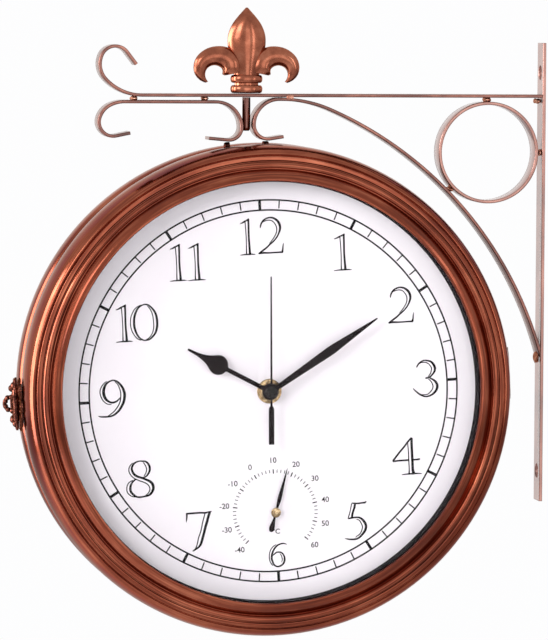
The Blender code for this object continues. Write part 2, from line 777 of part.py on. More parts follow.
def build_crown_weld(parent):
    """Build the weld that bridges the front edges of the top bar and the brace."""
    radii = (CROWN_WELD_HALF_WIDTH, CROWN_WELD_HALF_HEIGHT)
    oval = arc((0.0, 0.0), radii, 0.0, math.tau, FINE_STEPS)[:-1]
    low = BAR_WIDTH / 2 + FIT
    lump = slab(oval, low, low + CROWN_WELD_THICKNESS)
    place = (POST_X + CROWN_WELD_PLACE, 0.0, TOP_BAR_UNDERSIDE)
    add_piece("weld_crown", lump, WELD, parent, place, (math.pi / 2, 0.0, 0.0))


def build_foot_bead(name, parent, middle_x, sole):
    """Build the bead between a foot and the rear half's rim."""
    outline = []
    radius = RIM_RADIUS + FIT
    for side in (-1, 1):
        x = middle_x + side * PAD_WIDTH / 2
        drop = x - CASE_X
        outline.append((x - middle_x, CASE_Z + math.sqrt(radius * radius - drop * drop) - sole))
    half_width = PAD_WIDTH / 2
    outline += [(half_width, -FIT), (-half_width, -FIT)]
    near = SEAM_BACK + PAD_INSET
    far = RIM_DEPTH - PAD_INSET
    bead = slab(outline, -far, -near)
    add_piece(name, bead, WELD, parent, (middle_x, 0.0, sole), (math.pi / 2, 0.0, 0.0))


def petal_ring(half_width, half_depth, height):
    """Return a section of the petal: an oval with a crease down its front and back."""
    points = []
    for index in range(MIDDLE_STEPS):
        angle = math.tau * index / MIDDLE_STEPS
        crease = PETAL_CREASE_SHARE if index % (MIDDLE_STEPS // 2) == MIDDLE_STEPS // 4 else 0.0
        x = half_width * math.cos(angle)
        y = half_depth * math.sin(angle) * (1 - crease)
        points.append(Vector((x, y, height)))
    return points


def petal_mesh():
    """Loft the finial's middle petal with the stem below it."""
    rings = []
    for height_share, width_share in PETAL_SHARES:
        half_width = PETAL_HALF_WIDTH * width_share
        half_depth = PETAL_HALF_DEPTH * math.sqrt(width_share)
        rings.append(petal_ring(half_width, half_depth, FINIAL_HEIGHT * height_share))
    return loft(rings)


def collar_mesh(middle):
    """Loft one of the round bands that tie the petals."""
    rings = []
    for x, height in arc((0.0, middle), (1, COLLAR_HEIGHT / 2), -math.pi / 3, math.pi / 3, 3):
        points = []
        for index in range(MIDDLE_STEPS):
            angle = math.tau * (index + 0.5) / MIDDLE_STEPS
            width = COLLAR_HALF_WIDTH * math.cos(angle)
            depth = COLLAR_HALF_DEPTH * math.sin(angle)
            swell = math.sqrt(x)
            points.append(Vector((width * swell, depth * swell, height)))
        rings.append(points)
    return loft(rings)


def horn_mesh(side):
    """Loft a side petal that arches over and curls in at its tip."""
    rings = []
    for turn, radius_share, width_share in HORN_SHARES:
        angle = math.radians(turn)
        outward = Vector((-side * math.cos(angle), 0.0, math.sin(angle)))
        middle = Vector((side * HORN_REACH, 0.0, HORN_RISE))
        middle += outward * (HORN_RADIUS * radius_share)
        half_width = HORN_HALF_WIDTH * width_share
        half_depth = half_width * HORN_DEPTH_SHARE
        ring = []
        for index in range(FINE_STEPS):
            around = math.tau * index / FINE_STEPS
            point = middle + outward * (half_width * math.cos(around))
            point.y = half_depth * math.sin(around)
            ring.append(point)
        rings.append(ring)
    return loft(rings)


def build_finial(parent):
    """Build the cast fleur-de-lis that stands on the top bar."""
    low = COLLAR_HEIGHT / 2
    high = low + COLLAR_HEIGHT + COLLAR_GAP
    shape = united(petal_mesh(), collar_mesh(low), collar_mesh(high), horn_mesh(-1), horn_mesh(1))
    add_piece("finial", shape, CAST_COPPER, parent, (POST_X, 0.0, TOP_BAR_TOP + FIT))


def build_bracket():
    """Build the bracket with its beads and finial."""
    parent = add_frame("bracket_frame")
    build_wall_strap(parent)
    build_top_bar(parent)
    build_lower_scroll(parent)
    brace = plan_brace()
    build_brace(parent, brace)
    middle, radius = build_ring(parent, brace)
    build_bar_beads(parent, middle, radius, brace)
    build_end_welds(parent, brace)
    build_crown_weld(parent)
    build_foot_bead("weld_foot_left", parent, LEFT_PAD_X, LEFT_SOLE)
    build_foot_bead("weld_foot_right", parent, RIGHT_PAD_X, RIGHT_SOLE)
    post = rod(POST_RADIUS, -POST_LENGTH, 0.0)
    add_piece("hanger_post", post, BRACKET_COPPER, parent, (POST_X, 0.0, TOP_BAR_UNDERSIDE - FIT))
    build_finial(parent)


@dataclass(frozen=True)
class Face:
    """One face of the clock: its name, its frame and where its large rings start."""

    name: str
    frame: bpy.types.Object
    phase: float


def bezel_point(across_share, rise_share):
    """Return a point of the bezel from its shares of the bezel's width and rise."""
    return (FACE_RADIUS - BEZEL_WIDTH * across_share, FACE_HEIGHT + BEZEL_RISE * rise_share)


def shell_outside():
    """Return the outer side of the shell's wall, from the seam to the lip."""
    step_top = RIM_DEPTH + RIM_STEP_RISE
    points = [(RIM_RADIUS, SEAM_BACK), (RIM_RADIUS, RIM_DEPTH), (SHOULDER_RADIUS, step_top)]
    quarter = math.pi / 2
    rear = (BACK_ROUND, WIDEST_HEIGHT - step_top)
    points += arc((SHOULDER_RADIUS, WIDEST_HEIGHT), rear, -quarter, 0.0, 2)[1:]
    front = (SIDE_CURVE, FACE_HEIGHT - WIDEST_HEIGHT)
    points += arc((FACE_RADIUS, WIDEST_HEIGHT), front, 0.0, quarter, 5)[1:]
    points += [bezel_point(*shares) for shares in BEZEL_OUTER_SHARES]
    bead_middle = bezel_point(BEAD_PLACE_SHARE, BEAD_RISE_SHARE)
    points += arc(bead_middle, (BEAD_RADIUS, BEAD_RADIUS), BEAD_START, math.pi - BEAD_START, 3)
    points += [bezel_point(*shares) for shares in BEZEL_INNER_SHARES]
    points.append((LIP_RADIUS, LIP_UNDERSIDE))
    return points


def shell_inside():
    """Return the inner side of the shell's wall, from the glass back to the seam."""
    pocket = GLASS_RADIUS + GLASS_CLEARANCE
    points = [(pocket, LIP_UNDERSIDE), (pocket, GLASS_BACK)]
    for shares in (BEZEL_OUTER_SHARES[-1], BEZEL_OUTER_SHARES[0]):
        radius, height = bezel_point(*shares)
        points.append((radius, height - SHELL_WALL))
    radii = (SIDE_CURVE - SHELL_WALL, FACE_HEIGHT - WIDEST_HEIGHT - SHELL_WALL)
    points += arc((FACE_RADIUS, WIDEST_HEIGHT), radii, INNER_CURVE_START, 0.0, 2)
    points.append((SHOULDER_RADIUS - SHELL_WALL, RIM_DEPTH + SHELL_WALL))
    points.append((RIM_RADIUS - SHELL_WALL, RIM_DEPTH))
    points.append((RIM_RADIUS - SHELL_WALL, SEAM_BACK))
    return points


def room_at(height):
    """Return the shell's inner radius at a height above the seam."""
    points = shell_inside()
    for (radius, high), (lower_radius, low) in zip(points, points[1:]):
        if low <= height < high:
            return lower_radius + (radius - lower_radius) * (height - low) / (high - low)
    return RIM_RADIUS - SHELL_WALL


def build_case(face, dial_cuts):
    """Build a half case: shell, glass, spacer ring, dial and retaining ring."""
    steps = CASE_STEPS
    phase = face.phase
    shell = turned(shell_outside() + shell_inside(), steps, phase, ring=True)
    glass = turned(
        [(0.0, GLASS_BACK), (GLASS_RADIUS, GLASS_BACK), (GLASS_RADIUS, GLASS_FRONT), (0.0, GLASS_FRONT)],
        steps, phase,
    )
    spacer_outer = SPACER_INNER + SPACER_WALL
    spacer = tube(SPACER_INNER, spacer_outer, DIAL_FRONT + FIT, GLASS_BACK - FIT, steps, phase)
    dial_radius = room_at(DIAL_FRONT) - DIAL_CLEARANCE
    dial = tube(BUSH_RADIUS + FIT, dial_radius, DIAL_BACK, DIAL_FRONT, steps, phase)
    if dial_cuts:
        dial = cut(dial, *dial_cuts)
    top = DIAL_BACK - FIT
    outer = room_at(top) - RETAINER_CLEARANCE
    retainer = tube(outer - RETAINER_WIDTH, outer, top - RETAINER_HEIGHT, top, steps, phase)
    add_piece(face.name + "_shell", shell, COPPER, face.frame)
    add_piece(face.name + "_glass", glass, CLEAR_GLASS, face.frame)
    add_piece(face.name + "_spacer_ring", spacer, BLACK_PLASTIC, face.frame)
    add_piece(face.name + "_dial", dial, DIAL_WHITE, face.frame)
    add_piece(face.name + "_retaining_ring", retainer, STEEL, face.frame)


def movement_mesh():
    """Make the movement's housing with its battery bay and its two bores."""
    half = MOVEMENT_WIDTH / 2
    outline = rounded_rectangle(half, half, MOVEMENT_CORNER)
    housing = slab(outline, MOVEMENT_CLEARANCE, MOVEMENT_FRONT)
    below = MOVEMENT_CLEARANCE - OVERRUN
    half_length = (BATTERY_LENGTH + BATTERY_CAP_LENGTH) / 2 + FIT
    half_height = BATTERY_RADIUS + BAY_SIDE_CLEARANCE
    opening = rectangle(half_length, half_height, (0.0, -BATTERY_DROP))
    bay = slab(opening, below, BATTERY_HEIGHT + BATTERY_RADIUS + FIT)
    arbor_bore = rod(BUSH_BORE, ARBOR_FLOOR, MOVEMENT_FRONT + OVERRUN)
    stem_bore = rod(KNOB_STEM_RADIUS + FIT, below, KNOB_STEM_END + FIT)
    stem_bore = moved(stem_bore, Matrix.Translation((0.0, KNOB_RISE, 0.0)))
    return cut(housing, bay, arbor_bore, stem_bore)


def battery_mesh():
    """Make a round cell with its raised cap, lying along local Z."""
    top = BATTERY_LENGTH + BATTERY_CAP_LENGTH
    profile = [
        (0.0, 0.0), (BATTERY_RADIUS, 0.0), (BATTERY_RADIUS, BATTERY_LENGTH),
        (BATTERY_CAP_RADIUS, BATTERY_LENGTH), (BATTERY_CAP_RADIUS, top), (0.0, top),
    ]
    return moved(turned(profile, MIDDLE_STEPS), Matrix.Translation((0.0, 0.0, -top / 2)))


def knob_mesh():
    """Make the setting knob with its notched edge and its stem."""
    outline = []
    for index in range(2 * KNOB_TEETH):
        angle = math.pi * index / KNOB_TEETH
        radius = KNOB_RADIUS - KNOB_NOTCH * (index % 2)
        outline.append((radius * math.cos(angle), radius * math.sin(angle)))
    head = slab(outline, KNOB_TOP - KNOB_THICKNESS, KNOB_TOP)
    stem = rod(KNOB_STEM_RADIUS, KNOB_TOP - KNOB_THICKNESS / 2, KNOB_STEM_END)
    return united(head, stem)


def build_movement(face):
    """Build the movement, its battery and knob, and the fixing at the dial's middle."""
    parent = face.frame
    add_piece(face.name + "_movement", movement_mesh(), BLACK_PLASTIC, parent)
    lying = (0.0, math.pi / 2, 0.0)
    place = (0.0, -BATTERY_DROP, BATTERY_HEIGHT)
    add_piece(face.name + "_battery", battery_mesh(), BATTERY_WRAP, parent, place, lying)
    knob_axis = add_frame(face.name + "_knob_axis", parent, (0.0, KNOB_RISE, 0.0))
    add_piece(face.name + "_setting_knob", knob_mesh(), BLACK_PLASTIC, knob_axis)
    bush = tube(BUSH_BORE, BUSH_RADIUS, MOVEMENT_FRONT + FIT, BUSH_TOP, MIDDLE_STEPS)
    hole = BUSH_RADIUS + FIT
    washer_front = WASHER_BACK + WASHER_THICKNESS
    washer = tube(hole, WASHER_RADIUS, WASHER_BACK, washer_front, SMALL_STEPS)
    nut = tube(hole, NUT_RADIUS, NUT_BACK, NUT_BACK + NUT_HEIGHT, MIDDLE_STEPS)
    add_piece(face.name + "_bush", bush, BRASS, parent)
    add_piece(face.name + "_washer", washer, BRASS, parent)
    add_piece(face.name + "_nut", nut, BRASS, parent)


def with_mirror(right):
    """Close an outline of which the right side, from bottom to top, is given."""
    left = [(-x, y) for x, y in reversed(right) if x > 0]
    return right + left


def hand_mesh(hub, stem, right, back, hole):
    """Make a flat hand that points along +Y from a round hub with a hole."""
    meet = math.asin(stem / hub)
    top = math.pi / 2
    hub_points = arc((0.0, 0.0), (hub, hub), top + meet, top - meet + math.tau, FINE_STEPS)
    outline = with_mirror(right) + hub_points
    blade = slab(outline, back, back + HAND_THICKNESS)
    return cut(blade, rod(hole, back - OVERRUN, back + HAND_THICKNESS + OVERRUN))


def hour_side():
    """Return the hour hand's right side: stem, round bulb, hollow taper and blunt tip."""
    bulb = (0.0, HOUR_BULB_PLACE)
    radii = (HOUR_BULB_RADIUS, HOUR_BULB_RADIUS)
    meet = math.asin(HOUR_STEM / HOUR_BULB_RADIUS)
    right = arc(bulb, radii, meet - math.pi / 2, BULB_END, 5)
    reach = HOUR_LENGTH - HOUR_BULB_PLACE
    for place_share, width_share in HOUR_TAPER_SHARES:
        place = HOUR_BULB_PLACE + reach * place_share
        right.append((HOUR_BULB_RADIUS * width_share, place))
    right += arc((0.0, HOUR_LENGTH - HOUR_TIP), (HOUR_TIP, HOUR_TIP), 0.0, math.pi / 2, 2)[:-1]
    right.append((0.0, HOUR_LENGTH))
    return right


def minute_side():
    """Return the minute hand's right side: a long lance, widest past its middle."""
    return [
        (MINUTE_WIDEST, MINUTE_WIDEST_PLACE),
        (MINUTE_TIP, MINUTE_LENGTH - MINUTE_TIP), (0.0, MINUTE_LENGTH),
    ]


def second_mesh():
    """Make the second hand: needle, counterweight, boss and shaft in one piece."""
    shoulder = SECOND_NECK_END + SECOND_BAR
    right = [
        (0.0, -SECOND_TAIL), (SECOND_BAR, SECOND_BAR - SECOND_TAIL), (SECOND_BAR, -shoulder),
        (SECOND_NECK, -SECOND_NECK_END), (SECOND_NECK, 0.0), (SECOND_NEEDLE, SECOND_BOSS),
        (SECOND_NEEDLE / 2, SECOND_LENGTH - SECOND_NEEDLE), (0.0, SECOND_LENGTH),
    ]
    blade = slab(with_mirror(right), SECOND_BACK, SECOND_BACK + SECOND_THICKNESS)
    top = SECOND_BACK + SECOND_BOSS_HEIGHT
    edge = SECOND_BACK + SECOND_BOSS_HEIGHT / 2
    boss = turned(
        [
            (0.0, ARBOR_FLOOR + FIT), (SECOND_SHAFT_RADIUS, ARBOR_FLOOR + FIT),
            (SECOND_SHAFT_RADIUS, SECOND_BACK - BOSS_FLUSH), (SECOND_BOSS, SECOND_BACK - BOSS_FLUSH),
            (SECOND_BOSS, edge), (SECOND_BOSS * BOSS_DOME_SHARE, top), (0.0, top),
        ],
        MIDDLE_STEPS,
    )
    return united(boss, blade)


def build_hands(face):
    """Build the three hands, each with its tube or shaft on its own turning frame."""
    arbor_back = ARBOR_FLOOR + FIT
    hour_axis = add_frame(face.name + "_hour_axis", face.frame, turn=(0.0, 0.0, -HOUR_ANGLE))
    minute_axis = add_frame(face.name + "_minute_axis", face.frame, turn=(0.0, 0.0, -MINUTE_ANGLE))
    second_axis = add_frame(face.name + "_second_axis", face.frame, turn=(0.0, 0.0, -SECOND_ANGLE))
    hour_top = HOUR_BACK + HAND_THICKNESS + TUBE_PROUD
    minute_top = MINUTE_BACK + HAND_THICKNESS + TUBE_PROUD
    hour = hand_mesh(HOUR_HUB, HOUR_STEM, hour_side(), HOUR_BACK, HOUR_TUBE_RADIUS + FIT)
    minute = hand_mesh(MINUTE_HUB, MINUTE_STEM, minute_side(), MINUTE_BACK, MINUTE_TUBE_RADIUS + FIT)
    hour_tube = tube(HOUR_TUBE_BORE, HOUR_TUBE_RADIUS, arbor_back, hour_top)
    minute_tube = tube(MINUTE_TUBE_BORE, MINUTE_TUBE_RADIUS, arbor_back, minute_top)
    add_piece(face.name + "_hour_hand", hour, HAND_BLACK, hour_axis)
    add_piece(face.name + "_hour_tube", hour_tube, BRASS, hour_axis)
    add_piece(face.name + "_minute_hand", minute, HAND_BLACK, minute_axis)
    add_piece(face.name + "_minute_tube", minute_tube, BRASS, minute_axis)
    add_piece(face.name + "_second_hand", second_mesh(), HAND_BLACK, second_axis)


def spindle_hole():
    """Return the cutter of the spindle's hole in the front dial."""
    hole = rod(SPINDLE_RADIUS + FIT, DIAL_BACK - OVERRUN, DIAL_FRONT + OVERRUN)
    return moved(hole, Matrix.Translation((0.0, -THERMOMETER_DROP, 0.0)))


def coil_mesh(back):
    """Make the bimetal strip, wound out from the spindle to the cup's wall."""
    half = COIL_THICKNESS / 2
    first = SPINDLE_RADIUS + FIT + half
    last = CUP_RADIUS - CUP_WALL - 2 * FIT - half
    rings = []
    count = COIL_TURNS * COIL_STEPS
    for index in range(count + 1):
        angle = math.tau * index / COIL_STEPS
        radius = first + (last - first) * index / count
        ring = []
        for side, height in ((-1, back), (1, back), (1, back + COIL_WIDTH), (-1, back + COIL_WIDTH)):
            reach = radius + side * half
            ring.append(Vector((reach * math.cos(angle), reach * math.sin(angle), height)))
        rings.append(ring)
    return loft(rings)


def pointer_mesh():
    """Make the thermometer's pointer, a slim lance with a paddle for its tail."""
    neck = POINTER_HALF_WIDTH / 2
    right = [
        (0.0, -POINTER_TAIL), (PADDLE_HALF_WIDTH, PADDLE_HALF_WIDTH - POINTER_TAIL),
        (PADDLE_HALF_WIDTH, PADDLE_LENGTH - POINTER_TAIL), (neck, -POINTER_HUB),
        (neck, POINTER_HUB), (POINTER_HALF_WIDTH, POINTER_WIDEST_PLACE),
        (POINTER_TIP, POINTER_LENGTH - POINTER_TIP), (0.0, POINTER_LENGTH),
    ]
    top = POINTER_BACK + POINTER_THICKNESS
    needle = slab(with_mirror(right), POINTER_BACK, top)
    hub = rod(POINTER_HUB, POINTER_BACK, top)
    hole = rod(SPINDLE_RADIUS + FIT, POINTER_BACK - OVERRUN, top + OVERRUN)
    return cut(united(needle, hub), hole)


def build_thermometer(face):
    """Build the bimetal thermometer behind the dial, with its pointer in front."""
    middle = add_frame("thermometer_frame", face.frame, (0.0, -THERMOMETER_DROP, 0.0))
    axis = add_frame("thermometer_axis", middle, turn=(0.0, 0.0, -POINTER_ANGLE))
    back = MOVEMENT_FRONT - CUP_DEPTH
    inside = CUP_RADIUS - CUP_WALL
    floor = back + CUP_WALL
    cup = turned(
        [
            (0.0, back), (CUP_RADIUS, back), (CUP_RADIUS, MOVEMENT_FRONT),
            (inside, MOVEMENT_FRONT), (inside, floor), (0.0, floor),
        ],
        SMALL_STEPS,
    )
    head_back = POINTER_BACK + POINTER_THICKNESS + FIT
    head_top = head_back + SPINDLE_HEAD_HEIGHT
    spindle = turned(
        [
            (0.0, floor + FIT), (SPINDLE_RADIUS, floor + FIT), (SPINDLE_RADIUS, head_back),
            (SPINDLE_HEAD_RADIUS, head_back), (SPINDLE_HEAD_RADIUS * BOSS_DOME_SHARE, head_top),
            (0.0, head_top),
        ],
        FINE_STEPS,
    )
    add_piece("thermometer_cup", cup, STEEL, middle)
    add_piece("thermometer_coil", coil_mesh(floor + FIT), BIMETAL, middle)
    add_piece("thermometer_pointer", pointer_mesh(), HAND_BLACK, axis)
    add_piece("thermometer_spindle", spindle, BRASS, axis)


def upright_rod(radius, low, high, place=0.0, lift=0.0):
    """Make a rod along local Y, turned so that no edge lies in the plane of its axis."""
    standing = Matrix.Rotation(-math.pi / 2, 4, "X")
    round_bar = rod(radius, low, high, FINE_STEPS, math.pi / FINE_STEPS / 2)
    return moved(round_bar, Matrix.Translation((place, 0.0, lift)) @ standing)


def headed_pin(radius, head_radius, half_length):
    """Make a hinge pin along local Y with a head at both ends."""
    end = half_length + FIT
    tip = end + PIN_HEAD_LENGTH
    upper = [(radius, end), (head_radius, end), (radius, tip), (0.0, tip)]
    lower = [(reach, -height) for reach, height in reversed(upper)]
    standing = Matrix.Rotation(-math.pi / 2, 4, "X")
    return moved(turned(lower + upper, FINE_STEPS), standing)


def leaf_mesh(side, first_knuckle):
    """Make one leaf of the case hinge, with every second knuckle."""
    half = HINGE_HEIGHT / 2
    near = KNUCKLE_RADIUS + 2 * FIT
    reach = LEAF_REACH - near
    low = FIT - HINGE_OUT
    high = low + LEAF_THICKNESS
    upper = [(side * (near + reach * along), half * share) for along, share in LEAF_SHARES]
    lower = [(x, -y) for x, y in reversed(upper)]
    pitch = HINGE_HEIGHT / HINGE_KNUCKLES
    edge = []
    knuckles = []
    for index in range(first_knuckle, HINGE_KNUCKLES, 2):
        start = index * pitch - half + FIT / 2
        end = start + pitch - FIT
        knuckles.append(upright_rod(KNUCKLE_RADIUS, start, end))
        root = side * near
        edge += [(root, start), (0.0, start + FIT), (0.0, end - FIT), (root, end)]
    if first_knuckle == 0:
        edge = edge[1:-1]
        upper = upper[1:]
        lower = lower[:-1]
    leaf = united(slab(upper + lower + edge, low, high), *knuckles)
    return cut(leaf, upright_rod(HINGE_PIN_RADIUS + FIT, -half - OVERRUN, half + OVERRUN))


def build_hinge(case):
    """Build the case hinge at 3 o'clock: two leaves and their pin."""
    place = (CASE_RADIUS + HINGE_OUT, 0.0, 0.0)
    axis = add_frame("case_hinge_axis", case, place, (math.pi / 2, 0.0, math.pi / 2))
    add_piece("hinge_leaf_rear", leaf_mesh(1, 0), DARK_IRON, axis)
    add_piece("hinge_leaf_front", leaf_mesh(-1, 1), DARK_IRON, axis)
    pin = headed_pin(HINGE_PIN_RADIUS, PIN_HEAD_RADIUS, HINGE_HEIGHT / 2)
    add_piece("hinge_pin", pin, DARK_IRON, axis)


def ornate_outline(near, far, shares):
    """Return a lobed outline that runs from the place `near` to the place `far`."""
    half = LATCH_HEIGHT / 2
    upper = [(near + (far - near) * along, half * share) for along, share in shares]
    lower = [(x, -y) for x, y in reversed(upper)]
    return upper + lower


def latch_plate_mesh():
    """Make the plate on the front half, with the hasp's two outer knuckles."""
    low = FIT
    high = low + LATCH_PLATE_THICKNESS
    plate = slab(ornate_outline(LATCH_PLATE_NEAR, LATCH_PLATE_REACH, ORNATE_SHARES), low, high)
    place = HASP_AXIS_PLACE
    lift = HASP_AXIS_LIFT
    inner = HASP_KNUCKLE_LENGTH / 2 + FIT
    outer = inner + PLATE_KNUCKLE_LENGTH
    knuckles = []
    for start, end in ((inner, outer), (-outer, -inner)):
        knuckles.append(upright_rod(HASP_KNUCKLE_RADIUS, start, end, place, lift))
    room = upright_rod(HASP_KNUCKLE_RADIUS + FIT, -inner, inner, place, lift)
    plate = united(cut(plate, room), *knuckles)
    bore = upright_rod(LATCH_PIN_RADIUS + FIT, -outer - OVERRUN, outer + OVERRUN, place, lift)
    return cut(plate, bore)


def hasp_mesh():
    """Make the slotted hasp about its axis, with its knuckle and its curled lip."""
    half = HASP_KNUCKLE_LENGTH / 2
    low = 2 * FIT + LATCH_PLATE_THICKNESS - HASP_AXIS_LIFT
    high = low + HASP_THICKNESS
    leaf = ornate_outline(-HASP_NECK, -HASP_REACH, HASP_SHARES)
    neck_length = HASP_NECK + OVERRUN
    neck = rectangle(neck_length / 2, half, (-neck_length / 2, 0.0))
    lip_place = HASP_LIP_RADIUS / 2 - HASP_REACH
    lip = upright_rod(
        HASP_LIP_RADIUS, -HASP_LIP_LENGTH / 2, HASP_LIP_LENGTH / 2, lip_place, low + HASP_LIP_RADIUS,
    )
    solid = united(slab(leaf, low, high), slab(neck, low, high), lip)
    solid = united(solid, upright_rod(HASP_KNUCKLE_RADIUS, -half, half))
    slot_middle = -(SLOT_NEAR + SLOT_FAR) / 2
    slot = rectangle((SLOT_FAR - SLOT_NEAR) / 2, SLOT_HALF_HEIGHT, (slot_middle, 0.0))
    bore = upright_rod(LATCH_PIN_RADIUS + FIT, -half - OVERRUN, half + OVERRUN)
    return cut(solid, slab(slot, low - OVERRUN, high + OVERRUN), bore)


def staple_mesh(foot):
    """Bend the staple's wire into an arch that starts and ends inside its plate."""
    arch = STAPLE_LIFT - STAPLE_WIRE - STAPLE_HALF_SPAN
    path = [((-STAPLE_HALF_SPAN, foot), math.pi)]
    for index in range(STAPLE_STEPS + 1):
        angle = math.pi - math.pi * index / STAPLE_STEPS
        height = STAPLE_HALF_SPAN * math.cos(angle)
        lift = arch + STAPLE_HALF_SPAN * math.sin(angle)
        path.append(((height, lift), angle))
    path.append(((STAPLE_HALF_SPAN, foot), 0.0))
    rings = []
    for (height, lift), angle in path:
        ring = []
        for index in range(8):
            around = math.tau * index / 8
            out = STAPLE_WIRE * math.cos(around)
            point = (
                STAPLE_WIRE * math.sin(around) - STAPLE_PLACE,
                height + out * math.cos(angle), lift + out * math.sin(angle),
            )
            ring.append(Vector(point))
        rings.append(ring)
    return loft(rings)


def build_latch(case):
    """Build the latch at 9 o'clock: plate, hasp, pin and the keeper with its staple."""
    frame = add_frame("latch_frame", case, (-CASE_RADIUS, 0.0, 0.0), (math.pi / 2, 0.0, -math.pi / 2))
    axis = add_frame("hasp_axis", frame, (HASP_AXIS_PLACE, 0.0, HASP_AXIS_LIFT))
    add_piece("latch_plate", latch_plate_mesh(), DARK_IRON, frame)
    add_piece("latch_hasp", hasp_mesh(), DARK_IRON, axis)
    half_length = HASP_KNUCKLE_LENGTH / 2 + FIT + PLATE_KNUCKLE_LENGTH
    head_radius = HASP_AXIS_LIFT - LATCH_PLATE_THICKNESS - 2 * FIT
    pin = headed_pin(LATCH_PIN_RADIUS, head_radius, half_length)
    add_piece("latch_pin", pin, DARK_IRON, axis)
    outline = ornate_outline(-LATCH_PLATE_NEAR, -LATCH_PLATE_REACH, ORNATE_SHARES)
    keeper = slab(outline, FIT, FIT + LATCH_PLATE_THICKNESS)
    keeper = united(keeper, staple_mesh(FIT + LATCH_PLATE_THICKNESS / 2))
    add_piece("latch_keeper", keeper, DARK_IRON, frame)


def main():
    """Build the whole clock."""
    clear_scene()
    build_bracket()
    case = add_frame("case_frame", None, (CASE_X, 0.0, CASE_Z), (0.0, -CASE_LEAN, 0.0))
    upright = math.pi / 2
    front_frame = add_frame("front_frame", case, turn=(upright, 0.0, 0.0))
    rear_frame = add_frame("rear_frame", case, turn=(upright, 0.0, math.pi))
    front = Face("front", front_frame, -CASE_LEAN)
    rear = Face("rear", rear_frame, CASE_LEAN)
    build_case(front, [spindle_hole()])
    build_case(rear, [])
    for face in (front, rear):
        build_movement(face)
        build_hands(face)
    build_thermometer(front)
    build_hinge(case)
    build_latch(case)
    bpy.context.view_layer.update()


main()
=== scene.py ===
"""The looks of a double-faced garden clock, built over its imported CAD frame.

Every assembly is a class whose sizes are its fields, in millimetres. Each one adds its
pieces to the row frame, where the wall is the plane X = 0 and the front dial faces -Y.
"""

from __future__ import annotations

import json
import logging
import math
from dataclasses import dataclass
from enum import Enum
from typing import Callable, Iterable, Sequence

import bmesh
import bpy
from mathutils import Matrix, Vector

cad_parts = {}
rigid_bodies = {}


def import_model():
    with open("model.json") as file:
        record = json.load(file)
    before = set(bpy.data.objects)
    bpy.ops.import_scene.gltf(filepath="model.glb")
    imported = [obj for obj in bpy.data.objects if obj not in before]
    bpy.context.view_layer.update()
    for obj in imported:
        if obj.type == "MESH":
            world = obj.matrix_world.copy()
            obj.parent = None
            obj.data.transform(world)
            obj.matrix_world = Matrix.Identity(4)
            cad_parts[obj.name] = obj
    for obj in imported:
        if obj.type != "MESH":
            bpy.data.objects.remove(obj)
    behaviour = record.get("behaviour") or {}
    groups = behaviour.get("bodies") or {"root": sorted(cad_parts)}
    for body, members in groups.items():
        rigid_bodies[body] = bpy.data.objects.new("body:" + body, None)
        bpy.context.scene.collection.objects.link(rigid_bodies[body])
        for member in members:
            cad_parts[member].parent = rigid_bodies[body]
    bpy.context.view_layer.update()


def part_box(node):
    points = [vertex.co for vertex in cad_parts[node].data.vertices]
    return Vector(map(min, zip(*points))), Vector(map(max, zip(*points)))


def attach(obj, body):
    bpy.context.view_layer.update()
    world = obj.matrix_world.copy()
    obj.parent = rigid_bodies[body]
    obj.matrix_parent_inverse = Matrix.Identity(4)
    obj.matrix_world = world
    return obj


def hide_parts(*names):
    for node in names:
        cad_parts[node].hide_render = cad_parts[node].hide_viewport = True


log = logging.getLogger("clock")

Point = tuple[float, float]
Colour = tuple[float, float, float]
Stroke = Sequence[tuple[float, float, float]]

MILLIMETRE = 0.001
FIT = 0.3
CASE_X = -173.05
CASE_Z = -70.55
CASE_LEAN = math.radians(3.3)
POST_X = -184.5
BAR_TOP = 109.2
DIAL_FRONT = 22.5
DIAL_BACK = 21.2
PRINT_HEIGHT = 0.02
THERMOMETER_DROP = 73.9
AXIS_X = Vector((1.0, 0.0, 0.0))
AXIS_Y = Vector((0.0, 1.0, 0.0))
AXIS_Z = Vector((0.0, 0.0, 1.0))


class Side(Enum):
    """The two faces of the clock."""

    FRONT = "front"
    REAR = "rear"


class Grain(Enum):
    """The way in which a finish's streaks run."""

    AROUND = "around the case"
    ALONG = "along a bar"
    CAST = "cast skin"


# Frames and meshes


@dataclass(frozen=True)
class Frame:
    """A place in the model whose local unit is a millimetre."""

    matrix: Matrix

    def inside(self, place: Sequence[float], turn: Sequence[float] = (0.0, 0.0, 0.0)) -> Frame:
        """Return a frame that lies in this one.

        Args:
            place: The new frame's origin here, in millimetres.
            turn: Its turn about local X, then Y, then Z, in radians.
        Returns:
            The new frame.
        """
        matrix = self.matrix @ Matrix.Translation(place)
        for angle, axis in ((turn[2], "Z"), (turn[1], "Y"), (turn[0], "X")):
            matrix = matrix @ Matrix.Rotation(angle, 4, axis)
        return Frame(matrix)


ROW = Frame(Matrix.Scale(MILLIMETRE, 4))
CASE = ROW.inside((CASE_X, 0.0, CASE_Z), (0.0, -CASE_LEAN, 0.0))


def face_frame(side: Side) -> Frame:
    """Return the frame of one face, with Z out of the case and Y up."""
    turn = 0.0 if side is Side.FRONT else math.pi
    return CASE.inside((0.0, 0.0, 0.0), (math.pi / 2, 0.0, turn))


THERMOMETER = face_frame(Side.FRONT).inside((0.0, -THERMOMETER_DROP, 0.0))


@dataclass(frozen=True)
class FacePart:
    """What both faces of the clock have, such as a dial or a set of hands."""

    side: Side

    @property
    def name(self) -> str:
        """Return the word that the names of the side's pieces start with."""
        return self.side.value

    @property
    def body(self) -> str:
        """Return the CAD body that the side's fixed pieces ride on."""
        return "front_half" if self.side is Side.FRONT else "bracket"

    @property
    def frame(self) -> Frame:
        """Return the frame of the face."""
        return face_frame(self.side)


